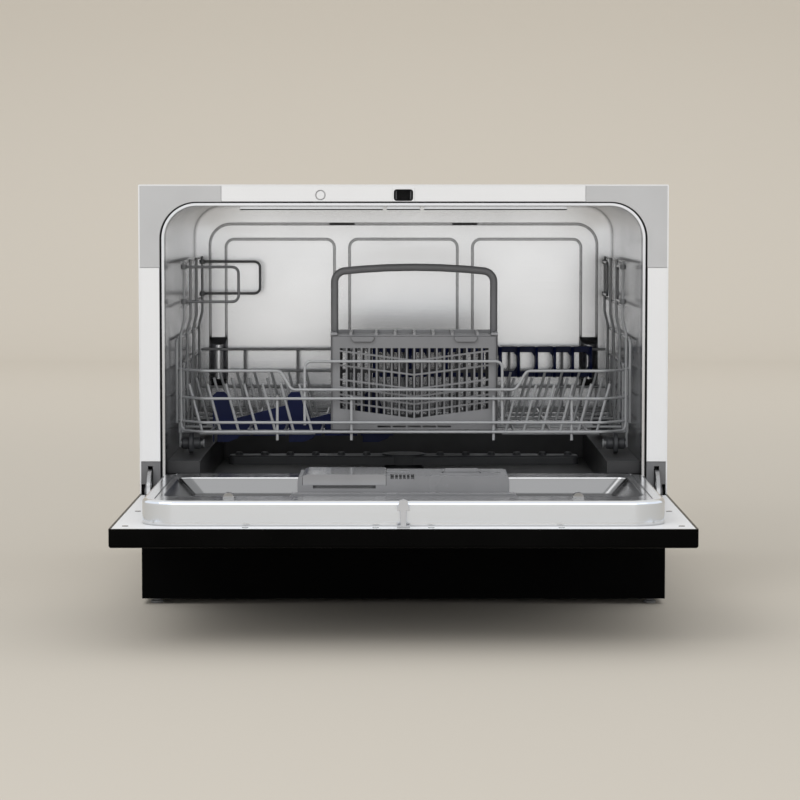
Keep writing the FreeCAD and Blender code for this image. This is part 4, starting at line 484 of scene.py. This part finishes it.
    def _texture(self, tree: bpy.types.NodeTree) -> tuple[bpy.types.NodeSocket, bpy.types.NodeSocket]:
        """Place the texture of this finish.

        Args:
            tree: The material's nodes.

        Returns:
            The fine texture and the slow change of tone.
        """
        if self.surface is Surface.BRUSHED:
            node = self._group(tree, EFFECTS.brushed(), {"Stretch": self.run.value, "Scale": self.scale})
            return node.outputs["Scratch"], node.outputs["Cloud"]
        if self.surface is Surface.PERFORATED:
            hole = self._group(tree, EFFECTS.perforated(), {"Pitch": self.scale}).outputs["Hole"]
            return hole, hole
        node = self._group(tree, EFFECTS.moulded(), {"Scale": self.scale})
        return node.outputs["Grain"], node.outputs["Cloud"]


# Places are in metres in the part's frame. The patches below are colour on the surface beneath, not separate pieces:
# painted shade, except for the painted reflection tint on the liner's front wall and the near-black spots under the
# bosses.
# Painted shade: the front face of the steel drip rail under the tub's ceiling is painted near-black.
DRIP_RAIL_SHADE = Patch((-0.18, -0.066, 0.4105), (0.18, -0.058, 0.4128), (0.04, 0.04, 0.04))
MOUTH_SHADE = Patch((-0.26, -0.0863, 0.1), (0.26, -0.067, 0.43), (0.03, 0.03, 0.03))
# Painted shade: two near-black dashes are painted in the rear wall's groove near its top.
LEFT_GROOVE_SHADE = Patch((-0.088, 0.3, 0.3924), (-0.058, 0.36, 0.3956), (0.004, 0.004, 0.004))
RIGHT_GROOVE_SHADE = LEFT_GROOVE_SHADE.mirrored()
# A near-black spot is painted on the rear wall's steel just under each boss.
LEFT_BOSS_DARK_SPOT = Patch((-0.2295, 0.338, 0.2), (-0.2115, 0.346, 0.2095), (0.01, 0.01, 0.01))
RIGHT_BOSS_DARK_SPOT = LEFT_BOSS_DARK_SPOT.mirrored()
POCKET_SHADE = Patch((-0.2305, -0.3465, 0.1235), (0.2305, -0.158, 0.1392), (0.22, 0.22, 0.222))
FRONT_SHEEN = Patch((-0.26, -0.389, 0.1195), (0.26, -0.362, 0.1385), (0.8, 0.845, 0.92))
# Painted shade: the two steel bumps at the front of the door liner are painted darker.
LEFT_BUMP_SHADE = Patch((-0.1725, -0.368, 0.1401), (-0.1585, -0.355, 0.148), (0.3, 0.3, 0.3))
RIGHT_BUMP_SHADE = LEFT_BUMP_SHADE.mirrored()
# Painted shade: the cutlery basket's inside faces are painted darker grey.
BASKET_INSIDE_SHADE = Patch((-0.0763, -0.0206, 0.179), (0.0993, 0.049, 0.2766), paint_colour(62, 62, 64))

WHITE_PAINT = Finish("white_paint", paint_colour(232, 232, 233), paint_colour(230, 230, 231), Surface.SPRAYED,
                     0.4, 0.55, specular=0.35, bump=0.03, scale=900.0, shade_and_soil=0.35)
GREY_PAINT = Finish("grey_paint", paint_colour(194, 194, 195), paint_colour(188, 188, 189), Surface.SPRAYED,
                    0.42, 0.56, specular=0.3, bump=0.03, scale=900.0, shade_and_soil=0.4)
GREY_HOUSING = Finish("grey_housing", paint_colour(112, 112, 114), paint_colour(104, 104, 106), Surface.MOULDED,
                      0.4, 0.55, bump=0.06)
STRIKER_GREY = Finish("striker_grey", paint_colour(192, 192, 194), paint_colour(184, 184, 186), Surface.MOULDED,
                      0.36, 0.5, bump=0.05)
LOCK_GREY = Finish("lock_grey", paint_colour(92, 92, 94), paint_colour(80, 80, 82), Surface.MOULDED, 0.4, 0.55,
                   specular=0.3, bump=0.08, shade_and_soil=0.25)
BLACK_PLASTIC = Finish("black_plastic", paint_colour(5, 5, 5), paint_colour(2, 2, 2), Surface.MOULDED, 0.5, 0.66,
                       specular=0.03, bump=0.1)
DOOR_BLACK = Finish("door_black", paint_colour(5, 5, 5), paint_colour(2, 2, 2), Surface.SPRAYED, 0.2, 0.32,
                    specular=0.035, bump=0.01, scale=700.0)
FOOT_GREY = Finish("foot_grey", paint_colour(150, 150, 150), paint_colour(138, 138, 138), Surface.MOULDED, 0.5, 0.66,
                   specular=0.2, bump=0.06)
RUBBER = Finish("seal_rubber", paint_colour(12, 12, 12), paint_colour(7, 7, 7), Surface.MOULDED, 0.6, 0.78,
                specular=0.1, bump=0.08)
TUB_STEEL = Finish("tub_steel", (0.53, 0.532, 0.54), (0.48, 0.482, 0.49), Surface.BRUSHED, 0.18, 0.28, metallic=1.0,
                   bump=0.02, scale=700.0, run=Run.DEEP, marks=0.8, shade_and_soil=0.85, patches=(DRIP_RAIL_SHADE, MOUTH_SHADE))
BACK_STEEL = Finish("back_steel", (0.66, 0.662, 0.67), (0.61, 0.612, 0.62), Surface.BRUSHED, 0.22, 0.32, metallic=1.0,
                    bump=0.02, scale=700.0, run=Run.ACROSS, marks=0.8, shade_and_soil=0.95, reach=0.008,
                    patches=(LEFT_GROOVE_SHADE, RIGHT_GROOVE_SHADE, LEFT_BOSS_DARK_SPOT, RIGHT_BOSS_DARK_SPOT))
LINER_STEEL = Finish("liner_steel", (0.78, 0.782, 0.79), (0.73, 0.732, 0.74), Surface.BRUSHED, 0.16, 0.26,
                     metallic=1.0, bump=0.02, scale=700.0, run=Run.ACROSS, marks=0.8, shade_and_soil=0.8,
                     patches=(POCKET_SHADE, FRONT_SHEEN, LEFT_BUMP_SHADE, RIGHT_BUMP_SHADE))
HINGE_STEEL = Finish("hinge_steel", (0.44, 0.44, 0.445), (0.36, 0.36, 0.365), Surface.BRUSHED, 0.22, 0.34,
                     metallic=1.0, bump=0.04, scale=1200.0, run=Run.DEEP)
FLOOR_PLASTIC = Finish("tub_floor_plastic", paint_colour(74, 74, 75), paint_colour(60, 60, 61), Surface.MOULDED,
                       0.36, 0.5, specular=0.2, bump=0.08)
SPRAY_PLASTIC = Finish("spray_plastic", paint_colour(70, 71, 73), paint_colour(60, 61, 63), Surface.MOULDED,
                       0.36, 0.5, specular=0.3, bump=0.08)
FILTER_MESH = Finish("filter_mesh", (0.02, 0.02, 0.02), (0.5, 0.5, 0.5), Surface.PERFORATED, 0.3, 0.6, metallic=0.9,
                     bump=0.4, scale=0.0022)
PUMP_GREY = Finish("pump_grey", paint_colour(120, 121, 124), paint_colour(105, 106, 108), Surface.MOULDED, 0.45, 0.6,
                   bump=0.1)
INLET_BRASS = Finish("inlet_brass", (0.62, 0.47, 0.22), (0.5, 0.37, 0.16), Surface.BRUSHED, 0.28, 0.42, metallic=1.0,
                     bump=0.05, scale=1500.0, run=Run.DEEP)
SMOKED_WINDOW = Finish("smoked_window", paint_colour(12, 13, 16), paint_colour(8, 8, 10), Surface.SPRAYED, 0.05, 0.14,
                       coat=0.6, bump=0.005, scale=500.0)
BUTTON_GREY = Finish("button_grey", paint_colour(150, 151, 154), paint_colour(140, 141, 144), Surface.MOULDED,
                     0.3, 0.42, coat=0.1, bump=0.04)
BOARD_GREEN = Finish("board_green", paint_colour(28, 104, 62), paint_colour(18, 84, 48), Surface.SPRAYED, 0.32, 0.46,
                     coat=0.3, bump=0.08, scale=600.0)
DISPENSER_GREY = Finish("dispenser_grey", paint_colour(140, 140, 142), paint_colour(132, 132, 134), Surface.MOULDED,
                        0.24, 0.36, specular=0.4, bump=0.03, shade_and_soil=0.8, reach=0.004)
LID_GREY = Finish("lid_grey", paint_colour(148, 148, 150), paint_colour(140, 140, 142), Surface.MOULDED, 0.1, 0.18,
                  coat=0.7, bump=0.02, shade_and_soil=0.8, reach=0.004)
WIRE_COATING = Finish("wire_coating", paint_colour(172, 173, 175), paint_colour(160, 161, 163), Surface.COATED,
                      0.22, 0.34, coat=0.15, bump=0.03, scale=1400.0, shade_and_soil=0.8, reach=0.004)
RACK_WIRE = Finish("rack_wire", paint_colour(120, 121, 123), paint_colour(108, 109, 111), Surface.COATED,
                   0.22, 0.34, coat=0.15, bump=0.03, scale=1400.0, shade_and_soil=0.8, reach=0.004)
ROLLER_GREY = Finish("roller_grey", paint_colour(80, 81, 84), paint_colour(68, 69, 72), Surface.MOULDED,
                     0.4, 0.55, bump=0.06)
CUTLERY_GREY = Finish("cutlery_grey", paint_colour(134, 134, 136), paint_colour(126, 126, 128), Surface.MOULDED,
                      0.36, 0.5, specular=0.3, bump=0.06, reach=0.004, patches=(BASKET_INSIDE_SHADE,))
LID_MESH = Finish("lid_mesh", paint_colour(150, 150, 152), paint_colour(140, 140, 142), Surface.MOULDED,
                  0.3, 0.42, specular=0.4, bump=0.05, reach=0.004)
HANDLE_GREY = Finish("handle_grey", paint_colour(114, 114, 116), paint_colour(104, 104, 106), Surface.MOULDED,
                     0.36, 0.5, specular=0.3, bump=0.06)
NAVY_PLASTIC = Finish("navy_plastic", paint_colour(20, 31, 78), paint_colour(14, 23, 60), Surface.MOULDED, 0.3, 0.42,
                      specular=0.15, bump=0.05)


class Dressing:
    """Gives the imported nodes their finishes."""

    def __init__(self, frame: dict) -> None:
        """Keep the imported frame.
        """
        self.nodes: dict[str, bpy.types.Object] = frame["nodes"]

    def wear(self, name: str, finish: Finish) -> None:
        """Give one node a finish.

        Args:
            name: The node's name.
            finish: The finish that it takes.
        """
        piece = self.nodes[name]
        material = finish.material()
        if not piece.material_slots:
            piece.data.materials.append(material)
        for slot in piece.material_slots:
            slot.link = "OBJECT"
            slot.material = material
        log.info("%s wears %s", name, finish.name)


@dataclass
class Assembly:
    """A group of nodes that are dressed together."""

    dressing: Dressing
    finishes: dict[str, Finish] = field(default_factory=dict)

    def dress(self) -> None:
        """Give the nodes of this group their finishes."""
        for name, finish in self.finishes.items():
            self.dressing.wear(name, finish)
        log.info("%s is done", type(self).__name__)


@dataclass
class Cabinet(Assembly):
    """The painted casing, the front frame round the opening and the base."""

    finishes: dict[str, Finish] = field(default_factory=lambda: {
        "base_tray": BLACK_PLASTIC, "plinth_panel": BLACK_PLASTIC, "levelling_feet": FOOT_GREY,
        "left_side_panel": WHITE_PAINT, "right_side_panel": WHITE_PAINT, "back_panel": WHITE_PAINT,
        "top_cover": WHITE_PAINT, "top_crossbar": WHITE_PAINT, "corner_plates": GREY_PAINT,
        "front_posts": WHITE_PAINT, "hinge_housings": GREY_HOUSING, "hinge_pins": HINGE_STEEL,
        "door_lock": LOCK_GREY, "water_inlet": INLET_BRASS, "drain_outlet": PUMP_GREY,
        "cable_gland": BLACK_PLASTIC,
    })


@dataclass
class Tub(Assembly):
    """The steel tub, its black floor and what washes inside it."""

    finishes: dict[str, Finish] = field(default_factory=lambda: {
        "tub_wrapper": TUB_STEEL, "tub_back": BACK_STEEL, "tub_floor": FLOOR_PLASTIC, "door_seal": RUBBER,
        "spray_pedestal": SPRAY_PLASTIC, "spray_arm": SPRAY_PLASTIC, "filter_plate": FILTER_MESH,
        "filter_cup": PUMP_GREY, "wash_pump": PUMP_GREY, "drain_pump": PUMP_GREY,
    })


@dataclass
class Door(Assembly):
    """The lowered door with its liner, dispenser and controls."""

    finishes: dict[str, Finish] = field(default_factory=lambda: {
        "door_outer_panel": DOOR_BLACK, "door_inner_panel": WHITE_PAINT, "door_liner": LINER_STEEL,
        "control_board": BOARD_GREEN, "door_striker": STRIKER_GREY, "hinge_arms": HINGE_STEEL,
        "dispenser_body": DISPENSER_GREY, "door_screws": HINGE_STEEL, "display_window": SMOKED_WINDOW,
        "detergent_lid": LID_GREY, "rinse_aid_cap": DISPENSER_GREY, "power_button": BUTTON_GREY,
        "program_button": BUTTON_GREY, "start_button": BUTTON_GREY,
    })


@dataclass
class Basket(Assembly):
    """The wire basket with its rollers, cup loops, cutlery basket and navy fittings."""

    finishes: dict[str, Finish] = field(default_factory=lambda: {
        "basket_floor": WIRE_COATING, "basket_front": WIRE_COATING, "basket_back": WIRE_COATING,
        "basket_left_side": WIRE_COATING, "basket_right_side": WIRE_COATING, "plate_tines": WIRE_COATING,
        "left_front_loop": RACK_WIRE, "left_rear_loop": RACK_WIRE, "right_front_loop": RACK_WIRE,
        "right_rear_loop": RACK_WIRE, "front_left_roller": ROLLER_GREY, "rear_left_roller": ROLLER_GREY,
        "front_right_roller": ROLLER_GREY, "rear_right_roller": ROLLER_GREY, "cutlery_basket": CUTLERY_GREY,
        "cutlery_front_lid": LID_MESH, "cutlery_rear_lid": LID_MESH, "cutlery_handle": HANDLE_GREY,
        "glass_comb": NAVY_PLASTIC, "plate_rest": NAVY_PLASTIC,
    })


@dataclass(frozen=True)
class Lamp:
    """A large soft lamp with a square face: where it hangs, what it points at, its side and its watts."""

    name: str
    place: Place
    target: Place
    side: float
    power: float

    def hang(self) -> None:
        """Hang the lamp in the scene."""
        data = bpy.data.lights.new(self.name, "AREA")
        data.size = self.side
        data.energy = self.power
        lamp = bpy.data.objects.new(self.name, data)
        lamp.location = self.place
        lamp.rotation_euler = (Vector(self.target) - Vector(self.place)).to_track_quat("-Z", "Y").to_euler()
        bpy.context.collection.objects.link(lamp)


@dataclass
class Studio:
    """The pale floor, the soft lights and the camera."""

    eye: Place = (0.0, -3.0327, 0.419)
    lens: float = 127.5
    sensor: float = 36.0
    clip_end: float = 50.0
    tilt: float = 3.98
    yaw: float = 0.07
    floor_half: float = 7.0
    wall_place: float = 5.4
    wall_height: float = 4.0
    sweep: float = 1.0
    sweep_steps: int = 24
    backdrop: Colour = field(default_factory=lambda: paint_colour(199, 192, 181))
    tint: Colour = (0.975, 0.99, 1.0)
    sky: float = 0.95
    lamps: tuple[Lamp, ...] = (
        Lamp("key", (-1.6, -2.4, 2.4), (0.0, -0.1, 0.15), 1.6, 22.0),
        Lamp("fill", (1.8, -2.6, 1.5), (0.0, 0.0, 0.2), 1.6, 3.5),
        Lamp("front", (0.0, -4.2, 1.1), (0.0, 0.1, 0.24), 2.4, 14.0),
        Lamp("wall", (0.0, 3.7, 3.4), (0.0, 5.4, 1.7), 4.0, 36.0),
    )

    def build(self) -> None:
        """Set up the floor, the world, the lights and the camera."""
        self._floor()
        self._world()
        for lamp in self.lamps:
            lamp.hang()
        self._camera()

    def _floor(self) -> None:
        """Lay the plain floor, which sweeps up into a wall behind."""
        centre = self.wall_place - self.sweep
        line = [(-self.floor_half, 0.0)]
        for step in range(self.sweep_steps + 1):
            angle = math.pi / 2 * step / self.sweep_steps
            line.append((centre + self.sweep * math.sin(angle), self.sweep * (1.0 - math.cos(angle))))
        line.append((self.wall_place, self.wall_height))
        places = [(side * self.floor_half, y, z) for y, z in line for side in (-1, 1)]
        faces = [(2 * i, 2 * i + 1, 2 * i + 3, 2 * i + 2) for i in range(len(line) - 1)]
        mesh = bpy.data.meshes.new("floor")
        mesh.from_pydata(places, [], faces)
        for polygon in mesh.polygons:
            polygon.use_smooth = True
        floor = bpy.data.objects.new("floor", mesh)
        bpy.context.collection.objects.link(floor)
        finish = Finish("floor_matt", self.backdrop, self.backdrop, Surface.MOULDED, 0.8, 0.9, specular=0.0,
                        bump=0.0, shade_and_soil=0.0)
        mesh.materials.append(finish.material())

    def _world(self) -> None:
        """Light everything softly from all round."""
        world = bpy.data.worlds.new("studio")
        world.use_nodes = True
        background = world.node_tree.nodes["Background"]
        background.inputs["Color"].default_value = (*self.tint, 1.0)
        background.inputs["Strength"].default_value = self.sky
        bpy.context.scene.world = world
        bpy.context.scene.view_settings.view_transform = "Standard"

    def _camera(self) -> None:
        """Set the camera at eye level with the top of the machine."""
        data = bpy.data.cameras.new("camera")
        data.sensor_width = self.sensor
        data.lens = self.lens
        data.clip_end = self.clip_end
        camera = bpy.data.objects.new("camera", data)
        camera.location = self.eye
        camera.rotation_euler = (math.radians(90.0 - self.tilt), 0.0, math.radians(self.yaw))
        bpy.context.collection.objects.link(camera)
        bpy.context.scene.camera = camera


def main() -> None:
    """Dress the machine and set up the studio."""
    logging.basicConfig(level=logging.INFO)
    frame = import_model()
    dressing = Dressing(frame)
    for assembly in (Cabinet(dressing), Tub(dressing), Door(dressing), Basket(dressing)):
        assembly.dress()
    Studio().build()


if __name__ == "__main__":
    main()
